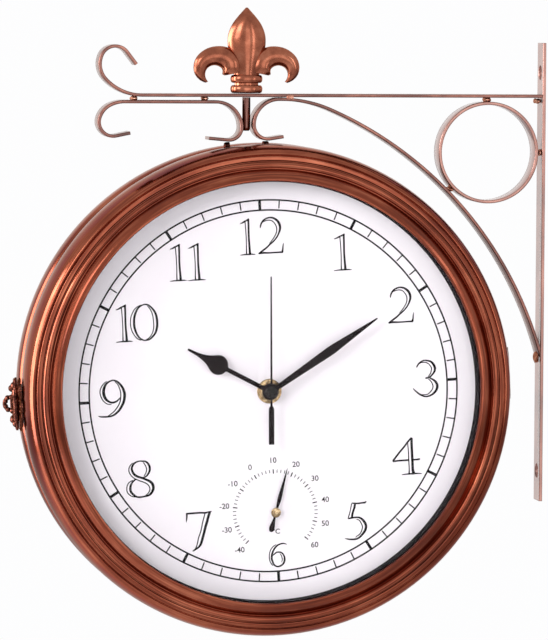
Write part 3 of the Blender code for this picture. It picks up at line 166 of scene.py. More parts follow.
def turns(count: int) -> list[float]:
    """Return the angles of one full turn in even steps."""
    return [math.tau * index / count for index in range(count)]


def arc(centre: Point, radii: Point, start: float, end: float, steps: int) -> list[Point]:
    """Return points along an arc of an ellipse.

    Args:
        centre: The ellipse's middle.
        radii: Its two half axes.
        start: The first point's angle in radians.
        end: The last point's angle.
        steps: How many steps lie between them.
    Returns:
        The points, both ends included.
    """
    points = []
    for index in range(steps + 1):
        angle = start + (end - start) * index / steps
        points.append((centre[0] + radii[0] * math.cos(angle), centre[1] + radii[1] * math.sin(angle)))
    return points


def eased(points: Sequence[Sequence[float]], steps: int) -> list[tuple[float, ...]]:
    """Return a smooth curve through points of any dimension.

    Args:
        points: The points that the curve passes.
        steps: How many steps to put between two of them.
    Returns:
        The curve's points, both ends included.
    """
    ends = [points[0], *points, points[-1]]
    curve = []
    for before, first, second, after in zip(ends, ends[1:], ends[2:], ends[3:]):
        for index in range(steps):
            t = index / steps
            curve.append(tuple(
                0.5 * (2 * b + (c - a) * t + (2 * a - 5 * b + 4 * c - d) * t * t
                       + (3 * b - a - 3 * c + d) * t ** 3)
                for a, b, c, d in zip(before, first, second, after)
            ))
    curve.append(tuple(points[-1]))
    return curve


def mirrored(right: Sequence[Point]) -> list[Point]:
    """Close an outline of which the right side, from bottom to top, is given."""
    return list(right) + [(-x, y) for x, y in reversed(right) if x > 0]


def rounded_box(half_width: float, half_height: float, corner: float,
                middle: Point = (0.0, 0.0), steps: int = 4) -> list[Point]:
    """Return a rectangle with round corners.

    Args:
        half_width: Half its width.
        half_height: Half its height.
        corner: The radius of its corners.
        middle: Its middle.
        steps: How many steps go round each corner.
    Returns:
        Its outline, anticlockwise.
    """
    points = []
    for index, (side_x, side_y) in enumerate(((1, 1), (-1, 1), (-1, -1), (1, -1))):
        centre = (middle[0] + side_x * (half_width - corner), middle[1] + side_y * (half_height - corner))
        start = index * math.pi / 2
        points += arc(centre, (corner, corner), start, start + math.pi / 2, steps)
    return points


def sleeve(bore: float, radius: float, low: float, high: float, edge: float) -> list[Point]:
    """Return a sleeve's section, with its two outer corners cut.

    Args:
        bore: Its inner radius, 0 for a solid disc.
        radius: Its outer radius.
        low: Where it starts along its axis.
        high: Where it ends.
        edge: How much of the corners is cut.
    Returns:
        The section's (radius, height) points.
    """
    points = [(bore, low), (radius - edge, low), (radius, low + edge)]
    return points + [(radius, high - edge), (radius - edge, high), (bore, high)]


def both_ways(side: Sequence[Point]) -> list[Point]:
    """Return a pin's section from that of its upper half."""
    return [(x, -y) for x, y in reversed(side)] + list(side[1:])


def cast(outline: Sequence[Point], middle: Point, angle: float) -> Point:
    """Return the point where a ray leaves an outline.

    Args:
        outline: The outline's corners.
        middle: Where the ray starts, inside the outline.
        angle: The ray's direction in radians.
    Returns:
        The farthest point in which the ray meets the outline.
    """
    start = Vector(middle)
    ray = Vector((math.cos(angle), math.sin(angle)))
    best = 0.0
    for first, second in zip(outline, list(outline[1:]) + [outline[0]]):
        edge = Vector(second) - Vector(first)
        spread = ray.x * edge.y - ray.y * edge.x
        if abs(spread) < 1e-9:
            continue
        offset = Vector(first) - start
        reach = (offset.x * edge.y - offset.y * edge.x) / spread
        share = (offset.x * ray.y - offset.y * ray.x) / spread
        if -1e-6 <= share <= 1 + 1e-6:
            best = max(best, reach)
    end = start + ray * best
    return (end.x, end.y)


def soften(piece: bpy.types.Object, width: float) -> None:
    """Round a piece's sharp edges by a width in millimetres."""
    bevel = piece.modifiers.new("soft_edges", "BEVEL")
    bevel.width = width * MILLIMETRE
    bevel.segments = 2
    bevel.limit_method = "ANGLE"
    bevel.angle_limit = math.radians(50.0)


def add_object(name: str, data: bpy.types.ID) -> bpy.types.Object:
    """Add an object to the scene, with its mesh, curve, camera or lamp."""
    item = bpy.data.objects.new(name, data)
    bpy.context.scene.collection.objects.link(item)
    return item


class Shape:
    """A mesh in the making, in the millimetres of its own frame."""

    def __init__(self) -> None:
        """Start with nothing."""
        self.bm = bmesh.new()
        self.uv = self.bm.loops.layers.uv.new("along")

    def skin(self, rings: Sequence[Sequence[Vector]], closed: bool = False) -> Shape:
        """Skin a row of rings that have the same count of points.

        Args:
            rings: The rings, each a closed loop of points.
            closed: Whether the last ring joins the first, or the row gets two end faces.
        Returns:
            This shape.
        """
        rows = [[self.bm.verts.new(point) for point in ring] for ring in rings]
        lengths = [0.0]
        for ring, following in zip(rings, list(rings[1:]) + [rings[0]]):
            lengths.append(lengths[-1] + (Vector(following[0]) - Vector(ring[0])).length)
        arounds = [0.0]
        for point, following in zip(rings[0], list(rings[0][1:]) + [rings[0][0]]):
            arounds.append(arounds[-1] + (Vector(following) - Vector(point)).length)
        count = len(rows) if closed else len(rows) - 1
        for step in range(count):
            row = rows[step]
            following = rows[(step + 1) % len(rows)]
            for index, vert in enumerate(row):
                neighbour = (index + 1) % len(row)
                face = self.bm.faces.new((vert, row[neighbour], following[neighbour], following[index]))
                corners = ((step, index), (step, index + 1), (step + 1, index + 1), (step + 1, index))
                for loop, (along, around) in zip(face.loops, corners):
                    loop[self.uv].uv = (lengths[along], arounds[around])
        if not closed:
            self.bm.faces.new(rows[0])
            self.bm.faces.new(rows[-1])
        return self

    def lathe(self, profile: Sequence[Point], steps: int, ring: bool = False) -> Shape:
        """Revolve an outline of (radius, height) points about local Z.

        Args:
            profile: The outline, from the axis to the axis, or closed and off the axis.
            steps: How many steps go round.
            ring: Whether the outline is closed.
        Returns:
            This shape.
        """
        rows = []
        for angle in turns(steps):
            across = Vector((math.cos(angle), math.sin(angle), 0.0))
            line = [across * radius + AXIS_Z * height for radius, height in profile]
            rows.append([self.bm.verts.new(point) for point in line])
        last = len(profile) if ring else len(profile) - 1
        for row, following in zip(rows, rows[1:] + rows[:1]):
            for index in range(last):
                other = (index + 1) % len(profile)
                self.bm.faces.new((row[index], following[index], following[other], row[other]))
        return self

    def slab(self, outline: Sequence[Point], low: float, high: float, round_off: float = 0.0) -> Shape:
        """Extrude an outline along local Z, with softened edges at its top.

        Args:
            outline: The corners of the outline.
            low: The height of its underside.
            high: The height of its top.
            round_off: How far the top's edge is rounded.
        Returns:
            This shape.
        """
        levels = [(0.0, low), (0.0, high - round_off)]
        if round_off:
            levels += [(0.3 * round_off, high - 0.3 * round_off), (round_off, high)]
        centres = [Vector((x, y, 0.0)) for x, y in outline]
        corners = []
        for index, centre in enumerate(centres):
            along = (centres[(index + 1) % len(centres)] - centres[index - 1]).normalized()
            corners.append((centre, Vector((-along.y, along.x, 0.0))))
        rings = []
        for inset, height in levels:
            rings.append([centre + inward * inset + AXIS_Z * height for centre, inward in corners])
        return self.skin(rings)

    def flat(self, outline: Iterable[Point], height: float) -> Shape:
        """Add one flat face at a height."""
        self.bm.faces.new([self.bm.verts.new((x, y, height)) for x, y in outline])
        return self

    def band(self, inner: float, outer: float, height: float, steps: int) -> Shape:
        """Add a flat ring about local Z.

        Args:
            inner: Its inner radius.
            outer: Its outer radius.
            height: Its height.
            steps: How many faces go round.
        Returns:
            This shape.
        """
        for index in range(steps):
            first = math.tau * index / steps
            second = math.tau * (index + 1) / steps
            corners = ((inner, first), (outer, first), (outer, second), (inner, second))
            self.flat([(r * math.cos(a), r * math.sin(a)) for r, a in corners], height)
        return self

    def stroke(self, points: Stroke, height: float, steps: int = 5) -> Shape:
        """Add a pen stroke of changing width.

        Args:
            points: The stroke's (x, y, width) points.
            height: Its height.
            steps: How many steps to put between two points.
        Returns:
            This shape.
        """
        curve = eased(points, steps)
        edges = []
        for index, (x, y, width) in enumerate(curve):
            before = curve[max(0, index - 1)]
            after = curve[min(len(curve) - 1, index + 1)]
            along = Vector((after[0] - before[0], after[1] - before[1])).normalized()
            half = max(width, 0.02) / 2
            left = self.bm.verts.new((x - along.y * half, y + along.x * half, height))
            right = self.bm.verts.new((x + along.y * half, y - along.x * half, height))
            edges.append((left, right))
        for (left, right), (next_left, next_right) in zip(edges, edges[1:]):
            self.bm.faces.new((left, right, next_right, next_left))
        return self

    def cord(self, path: Sequence[Sequence[float]], radius: float, up: Vector, sides: int = 12) -> Shape:
        """Sweep a round cord along a path.

        Args:
            path: The points of the cord's middle.
            radius: The cord's radius.
            up: A direction that the path never runs along.
            sides: How many sides the cord has.
        Returns:
            This shape.
        """
        points = [Vector(point) for point in path]
        rings = []
        for index, point in enumerate(points):
            before = points[max(0, index - 1)]
            after = points[min(len(points) - 1, index + 1)]
            along = (after - before).normalized()
            across = along.cross(up).normalized()
            top = across.cross(along)
            rings.append([point + (across * math.cos(a) + top * math.sin(a)) * radius for a in turns(sides)])
        return self.skin(rings)

    def dome(self, middle: Sequence[float], radius: float, rise: float) -> Shape:
        """Add a low dome, such as a rivet or a screw's head.

        Args:
            middle: The middle of its foot.
            radius: Its radius.
            rise: Its height along local Z, below zero for a dome that hangs down.
        Returns:
            This shape.
        """
        rings = []
        for level in range(5):
            angle = math.pi / 2 * level / 5
            wide = radius * math.cos(angle)
            up = rise * math.sin(angle)
            rings.append([
                Vector(middle) + Vector((wide * math.cos(around), wide * math.sin(around), up))
                for around in turns(20)
            ])
        return self.skin(rings)

    def upright(self, profile: Sequence[Point], steps: int, place: Point = (0.0, 0.0)) -> Shape:
        """Revolve an outline of (radius, height) points about an axis along local Y.

        Args:
            profile: The outline, closed by its last and first points.
            steps: How many steps go round.
            place: The axis's X and Z.
        Returns:
            This shape.
        """
        middle = Vector((place[0], 0.0, place[1]))
        rings = []
        for angle in turns(steps):
            across = Vector((math.cos(angle), 0.0, math.sin(angle)))
            rings.append([middle + across * radius + AXIS_Y * height for radius, height in profile])
        return self.skin(rings, closed=True)

    def take(self, mesh: bpy.types.Mesh, matrix: Matrix) -> Shape:
        """Add another mesh's faces, moved by a matrix."""
        first = len(self.bm.verts)
        self.bm.from_mesh(mesh)
        self.bm.verts.ensure_lookup_table()
        bmesh.ops.transform(self.bm, matrix=matrix, verts=self.bm.verts[first:])
        return self

    def take_node(self, name: str) -> Shape:
        """Add the mesh of a CAD node."""
        return self.take(bpy.data.objects[name].data, Matrix.Scale(1 / MILLIMETRE, 4))

    def push(self, shift: Callable[[Vector], Vector]) -> Shape:
        """Move every point by what a function gives for it."""
        for vert in self.bm.verts:
            vert.co += shift(vert.co)
        return self

    def place(self, name: str, frame: Frame, finish: Finish, body: str, replaces: Sequence[str] = (),
              angle: float = 34.0, merge: bool = True) -> bpy.types.Object:
        """Close the mesh into a piece of the model that rides on a CAD body.

        Args:
            name: The piece's name.
            frame: The frame that its points are given in.
            finish: The finish that it gets.
            body: The CAD body that it rides on.
            replaces: The CAD nodes that it stands for.
            angle: Edges sharper than this many degrees stay crisp.
            merge: Whether points that meet become one.
        Returns:
            The new object.
        """
        if merge:
            bmesh.ops.remove_doubles(self.bm, verts=self.bm.verts, dist=0.001)
            bmesh.ops.recalc_face_normals(self.bm, faces=self.bm.faces)
        mesh = bpy.data.meshes.new(name)
        self.bm.to_mesh(mesh)
        self.bm.free()
        mesh.transform(frame.matrix)
        if not merge and sum((face.normal.y for face in mesh.polygons)) * frame.matrix[1][2] < 0:
            mesh.flip_normals()
        mesh.shade_smooth()
        mesh.set_sharp_from_angle(angle=math.radians(angle))
        mesh.materials.append(finish.material())
        piece = add_object(name, mesh)
        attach(piece, body)
        if replaces:
            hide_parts(*replaces)
        return piece


# Finishes


class Graph:
    """The node graph of a material or a world, grown one node at a time."""

    def __init__(self, owner: bpy.types.Material | bpy.types.World) -> None:
        """Start with the nodes that the owner has by default."""
        owner.use_nodes = True
        self.tree = owner.node_tree
        self.shader = self.tree.nodes.get("Principled BSDF")

    def node(self, kind: str, inputs: dict | None = None, **settings: object) -> bpy.types.Node:
        """Add a node.

        Args:
            kind: The node's type.
            inputs: What goes into its sockets, sockets or plain values.
            settings: Its own settings.
        Returns:
            The new node.
        """
        node = self.tree.nodes.new(kind)
        for key, value in settings.items():
            setattr(node, key, value)
        for key, value in (inputs or {}).items():
            self.feed(node.inputs[key], value)
        return node

    def feed(self, socket: bpy.types.NodeSocket, value: object) -> None:
        """Link a socket to another, or set it to a plain value."""
        if isinstance(value, bpy.types.NodeSocket):
            self.tree.links.new(value, socket)
        else:
            socket.default_value = value

    def maths(self, operation: str, first: object, second: object = 0.0) -> bpy.types.NodeSocket:
        """Return the result of a sum on two numbers."""
        node = self.node("ShaderNodeMath", {0: first, 1: second}, operation=operation)
        return node.outputs[0]

    def surface(self, inputs: dict) -> None:
        """Feed the main shader's sockets."""
        for key, value in inputs.items():
            self.feed(self.shader.inputs[key], value)

    def noise(self, place: object, scale: float, detail: float, rough: float = 0.6) -> bpy.types.NodeSocket:
        """Return a noise value.

        Args:
            place: The coordinates that it is read at.
            scale: How fine it is, per unit of the coordinates.
            detail: How many finer layers it has.
            rough: How strong these layers are.
        Returns:
            The noise's value socket.
        """
        inputs = {"Vector": place, "Scale": scale, "Detail": detail, "Roughness": rough}
        return self.node("ShaderNodeTexNoise", inputs).outputs["Fac"]

    def ramp(self, value: object, stops: Sequence[tuple[float, Colour]]) -> bpy.types.NodeSocket:
        """Return a colour read from a ramp.

        Args:
            value: The place on the ramp.
            stops: The ramp's (position, colour) stops.
        Returns:
            The colour's socket.
        """
        node = self.node("ShaderNodeValToRGB", {"Fac": value})
        elements = node.color_ramp.elements
        while len(elements) < len(stops):
            elements.new(0.5)
        for element, (position, colour) in zip(elements, stops):
            element.position = position
            element.color = (*colour, 1.0)
        return node.outputs["Color"]

    def span(self, value: object, low: float, high: float,
             start: float = 0.3, end: float = 0.7) -> bpy.types.NodeSocket:
        """Return a value mapped onto a new range.

        Args:
            value: The value to map.
            low: What it becomes at or under `start`.
            high: What it becomes at or over `end`.
            start: The low end of its own range.
            end: The high end of its own range.
        Returns:
            The mapped value's socket.
        """
        inputs = {"Value": value, "From Min": start, "From Max": end, "To Min": low, "To Max": high}
        return self.node("ShaderNodeMapRange", inputs).outputs["Result"]

    def stretched(self, place: object, scale: Sequence[float]) -> bpy.types.NodeSocket:
        """Return coordinates stretched by a scale."""
        return self.node("ShaderNodeMapping", {"Vector": place, "Scale": scale}).outputs["Vector"]

    def bump(self, height: object, depth: float) -> bpy.types.NodeSocket:
        """Return the normal of a surface that rises by a depth in metres where the height is 1."""
        return self.node("ShaderNodeBump", {"Height": height, "Distance": depth}).outputs["Normal"]


@dataclass(frozen=True)
class Finish:
    """What all finishes share: a name and a cached material."""

    name: str

    def material(self) -> bpy.types.Material:
        """Return this finish's material, made once."""
        found = bpy.data.materials.get(self.name)
        if found:
            return found
        material = bpy.data.materials.new(self.name)
        self.paint(Graph(material))
        return material

    def paint(self, graph: Graph) -> None:
        """Fill the graph, which each finish does in its own way."""
        raise NotImplementedError


@dataclass(frozen=True)
class Metal(Finish):
    """Metal with dark patches, rubbed places and fine streaks, all laid by noise."""

    deep: Colour
    middle: Colour
    worn: Colour
    grain: Grain = Grain.CAST
    rough: Point = (0.25, 0.45)
    mottle: float = 60.0
    worn_share: float = 0.35
    metallic: float = 1.0
    edge: Colour = (0.80, 0.52, 0.40)
    coat: float = 0.0
    coat_ior: float = 1.5
    depth: float = 0.00002

    def streaks(self, graph: Graph, place: object) -> bpy.types.NodeSocket:
        """Return the fine streaks of the finish, in the direction of its grain."""
        if self.grain is Grain.AROUND:
            split = graph.node("ShaderNodeSeparateXYZ", {0: place})
            x = graph.maths("SUBTRACT", split.outputs[0], CASE_X * MILLIMETRE)
            z = graph.maths("SUBTRACT", split.outputs[2], CASE_Z * MILLIMETRE)
            squares = graph.maths("ADD", graph.maths("MULTIPLY", x, x), graph.maths("MULTIPLY", z, z))
            radius = graph.maths("SQRT", squares)
            around = graph.node("ShaderNodeCombineXYZ", {
                0: graph.maths("DIVIDE", x, radius), 1: graph.maths("DIVIDE", z, radius),
                2: graph.maths("MULTIPLY", graph.maths("ADD", radius, split.outputs[1]), 260.0),
            }).outputs[0]
            return graph.noise(around, 3.2, 6.0, 0.62)
        if self.grain is Grain.ALONG:
            along = graph.node("ShaderNodeUVMap", uv_map="along").outputs["UV"]
            return graph.noise(graph.stretched(along, (0.05, 1.4, 1.0)), 2.2, 5.0)
        return graph.noise(place, self.mottle * 9, 4.0)

    def paint(self, graph: Graph) -> None:
        """Paint the metal with its blotches, streaks, wear and bump."""
        place = graph.node("ShaderNodeTexCoord").outputs["Object"]
        blotches = graph.maths("MULTIPLY", graph.noise(place, self.mottle, 5.0), 0.45)
        streaks = graph.maths("MULTIPLY", self.streaks(graph, place), 0.55)
        mixed = graph.maths("ADD", blotches, streaks)
        high = 0.62 - 0.2 * self.worn_share
        graph.surface({
            "Base Color": graph.ramp(mixed, ((0.34, self.deep), (0.5, self.middle), (high, self.worn))),
            "Metallic": self.metallic,
            "Roughness": graph.span(mixed, self.rough[1], self.rough[0], 0.36, 0.62),
            "Specular Tint": (*self.edge, 1.0),
            "Coat Weight": self.coat,
            "Coat Roughness": 0.14,
            "Coat IOR": self.coat_ior,
            "Normal": graph.bump(mixed, self.depth),
        })


@dataclass(frozen=True)
class Paint(Finish):
    """Paint, ink or plastic: a colour with faint clouds and a fine skin."""

    base: Colour
    other: Colour
    rough: Point = (0.35, 0.55)
    scale: float = 90.0
    depth: float = 0.000004
    specular: float = 0.5

    def paint(self, graph: Graph) -> None:
        """Paint the two tones and the skin."""
        place = graph.node("ShaderNodeTexCoord").outputs["Object"]
        clouds = graph.noise(place, self.scale, 5.0)
        skin = graph.noise(place, self.scale * 14, 2.0, 0.5)
        graph.surface({
            "Base Color": graph.ramp(clouds, ((0.35, self.base), (0.65, self.other))),
            "Roughness": graph.span(clouds, self.rough[0], self.rough[1]),
            "Specular IOR Level": self.specular,
            "Normal": graph.bump(skin, self.depth),
        })


@dataclass(frozen=True)
class Glass(Finish):
    """Clear window glass with faint smears, which lets light through to the dial."""

    tint: Colour = (0.985, 0.995, 0.99)

    def paint(self, graph: Graph) -> None:
        """Paint the glass and let lamps shine through it."""
        place = graph.node("ShaderNodeTexCoord").outputs["Object"]
        smears = graph.noise(graph.stretched(place, (14.0, 14.0, 40.0)), 1.0, 4.0)
        graph.surface({
            "Base Color": (*self.tint, 1.0),
            "Transmission Weight": 1.0,
            "Roughness": graph.span(smears, 0.0, 0.02, 0.5, 0.7),
            "IOR": 1.12,
        })
        clear = graph.node("ShaderNodeBsdfTransparent", {"Color": (*self.tint, 1.0)})
        lamp = graph.node("ShaderNodeLightPath").outputs["Is Shadow Ray"]
        mix = graph.node("ShaderNodeMixShader", {0: lamp, 1: graph.shader.outputs[0], 2: clear.outputs[0]})
        graph.feed(graph.tree.nodes["Material Output"].inputs["Surface"], mix.outputs[0])


CASE_COPPER = Metal(
    "BezelCopper", (0.070, 0.009, 0.003), (0.185, 0.034, 0.012), (0.38, 0.115, 0.058), Grain.AROUND,
    rough=(0.15, 0.25), mottle=14.0, worn_share=-0.15, edge=(0.70, 0.38, 0.28), coat=0.35,
)
BRACKET_COPPER = Metal(
    "BracketCopper", (0.09, 0.022, 0.014), (0.24, 0.078, 0.050), (0.46, 0.20, 0.145), Grain.ALONG,
    rough=(0.26, 0.38), mottle=30.0, worn_share=-0.3, edge=(1.0, 0.85, 0.78), coat=1.0, coat_ior=1.8,
    depth=0.000004,
)
# Painted shade: a darker, shaded copy of the bracket copper for the top bar, the lower scroll, the brace and
# the post, standing in for the shade on them; the wall strap and the ring keep the lit copy above
SHADED_COPPER = Metal(
    "ShadedBracketCopper", (0.045, 0.010, 0.006), (0.135, 0.038, 0.024), (0.36, 0.14, 0.095), Grain.ALONG,
    rough=(0.22, 0.34), mottle=30.0, worn_share=-0.2, edge=(0.9, 0.7, 0.6), coat=0.7, coat_ior=1.6,
    depth=0.000004,
)
CAST_COPPER = Metal(
    "CastCopper", (0.14, 0.032, 0.014), (0.29, 0.084, 0.042), (0.46, 0.17, 0.098), Grain.CAST,
    rough=(0.17, 0.26), mottle=14.0, worn_share=-0.3, coat=0.3, depth=0.000004,
)
WELD = Metal(
    "WeldCopper", (0.22, 0.075, 0.050), (0.45, 0.19, 0.13), (0.75, 0.46, 0.34), Grain.CAST,
    rough=(0.32, 0.55), mottle=240.0, depth=0.00012,
)
DARK_IRON = Metal(
    "DarkIron", (0.014, 0.005, 0.004), (0.042, 0.013, 0.010), (0.22, 0.070, 0.046), Grain.CAST,
    rough=(0.22, 0.36), mottle=180.0, worn_share=0.0, depth=0.00006,
)
BRASS = Metal(
    "Brass", (0.07, 0.042, 0.020), (0.26, 0.17, 0.090), (0.58, 0.43, 0.26), Grain.CAST,
    rough=(0.2, 0.34), mottle=220.0, depth=0.00001,
)
STEEL = Metal(
    "Steel", (0.30, 0.30, 0.31), (0.52, 0.52, 0.54), (0.72, 0.72, 0.73), Grain.CAST,
    rough=(0.24, 0.4), mottle=120.0, depth=0.00001,
)
BIMETAL = Metal(
    "Bimetal", (0.24, 0.19, 0.14), (0.50, 0.42, 0.33), (0.70, 0.62, 0.52), Grain.CAST,
    rough=(0.28, 0.42), mottle=260.0, depth=0.00001,
)
CELL_WRAP = Metal(
    "CellWrap", (0.018, 0.018, 0.022), (0.035, 0.035, 0.042), (0.07, 0.07, 0.08), Grain.CAST,
    rough=(0.25, 0.4), mottle=200.0, metallic=0.2, depth=0.00001,
)
GLASS = Glass("ClearGlass")
PLASTIC = Paint(
    "BlackPlastic", (0.006, 0.005, 0.006), (0.012, 0.010, 0.012), (0.4, 0.55), 160.0, 0.00002, specular=0.2,
)
RING_PAINT = Paint(
    "RingBlack", (0.003, 0.002, 0.003), (0.007, 0.005, 0.006), (0.7, 0.85), 160.0, specular=0.03,
)
DIAL_PAINT = Paint(
    "DialPaint", (0.855, 0.795, 0.845), (0.880, 0.820, 0.868), (0.45, 0.6), 26.0, specular=0.2,
)
INK = Paint("Ink", (0.004, 0.003, 0.004), (0.010, 0.008, 0.010), (0.6, 0.75), 240.0, specular=0.1)
GREY_INK = Paint("GreyInk", (0.045, 0.040, 0.047), (0.080, 0.072, 0.082), (0.6, 0.75), 240.0)
HAND_LACQUER = Paint(
    "HandLacquer", (0.005, 0.002, 0.003), (0.009, 0.005, 0.006), (0.3, 0.42), 150.0, specular=0.06,
)
BOSS_LACQUER = Paint(
    "BossLacquer", (0.006, 0.004, 0.004), (0.012, 0.009, 0.009), (0.08, 0.15), 150.0, specular=0.22,
)
FLOOR_PAINT = Paint("FloorPaint", (0.93, 0.93, 0.935), (0.95, 0.95, 0.955), (0.75, 0.9), 1.5, 0.0001)


# Case


@dataclass(frozen=True)
class CaseHalf(FacePart):
    """One half of the case: its shell, its glass and its black ring."""

    rim: float = 147.6
    shoulder: float = 148.4
    widest: float = 149.6
    widest_height: float = 15.0
    face: float = 144.0
    face_height: float = 34.2
    width: float = 16.2
    rise: float = 4.3
    wall: float = 1.4
    glass: Point = (33.9, 36.3)
    glass_radius: float = 131.5
    ring: Point = (127.3, 130.5)
    steps: int = 160
    step: tuple[Point, ...] = (
        (0.020, -0.11), (0.037, -0.14), (0.055, -0.05), (0.066, 0.09), (0.078, 0.163),
        (0.10, 0.185), (0.16, 0.215), (0.212, 0.228), (0.232, 0.19), (0.252, 0.10),
    )
    bead: Point = (0.401, 0.233)
    slope: tuple[Point, ...] = (
        (0.549, 0.186), (0.585, 0.27), (0.765, 0.767), (0.860, 0.915), (0.914, 0.977), (0.955, 1.0),
        (0.985, 0.965),
    )

    def bezel(self, across: float, rise: float) -> Point:
        """Return a point of the bezel from its shares of the bezel's width and rise."""
        return (self.face - self.width * across, self.face_height + self.rise * rise)

    def outside(self) -> list[Point]:
        """Return the outer side of the shell's wall, from the seam to the lip."""
        points = [(self.rim - 0.4, FIT / 2), (self.rim, 0.55), (self.rim, 4.7), (self.rim + 0.25, 5.05)]
        points += [(self.shoulder - 0.1, 5.45), (self.shoulder, 5.8)]
        rear = (self.widest - self.shoulder, self.widest_height - 5.8)
        points += arc((self.shoulder, self.widest_height), rear, -math.pi / 2, 0.0, 6)[1:]
        front = (self.widest - self.face, self.face_height - self.widest_height)
        points += arc((self.face, self.widest_height), front, 0.0, math.pi / 2, 14)[1:]
        points += eased([self.bezel(*share) for share in self.step], 3)
        bead_end = math.pi + math.radians(6.0)
        points += arc(self.bezel(*self.bead), (2.0, 2.0), math.radians(-14.0), bead_end, 14)
        points += eased([self.bezel(*share) for share in self.slope], 4)
        points += [self.bezel(1.0, 0.86), (self.face - self.width, self.glass[1] + FIT)]
        return points

    def inside(self) -> list[Point]:
        """Return the inner side of the shell's wall, from the glass back to the seam."""
        pocket = self.glass_radius + 0.4
        points = [(pocket, self.glass[1] + FIT), (pocket, self.glass[0])]
        for across, rise in ((0.265, 0.07), (0.037, -0.14)):
            radius, height = self.bezel(across, rise)
            points.append((radius, height - self.wall))
        reach = (self.widest - self.face - self.wall, self.face_height - self.widest_height - self.wall)
        points += arc((self.face, self.widest_height), reach, math.radians(72.0), 0.0, 8)
        rim = self.rim - self.wall
        return points + [(self.shoulder - self.wall, 6.4), (rim, 5.0), (rim, FIT / 2)]

    def build(self) -> None:
        """Add the half's pieces."""
        name = self.name
        shell = Shape().lathe(self.outside() + self.inside(), self.steps, ring=True)
        shell.place(name + "_bezel_pressing", self.frame, CASE_COPPER, self.body, [name + "_shell"], 40.0)
        low, high = self.glass
        glass = Shape().lathe(sleeve(0.0, self.glass_radius, low, high, 0.4), self.steps)
        glass.place(name + "_window", self.frame, GLASS, self.body, [name + "_glass"])
        inner, outer = self.ring
        top = low - FIT
        foot = DIAL_FRONT + FIT
        section = [(inner, foot), (outer, foot), (outer, top), (inner + 0.5, top), (inner, top - 0.5)]
        ring = Shape().lathe(section, self.steps, ring=True)
        ring.place(name + "_black_ring", self.frame, RING_PAINT, self.body, [name + "_spacer_ring"])


# Dial


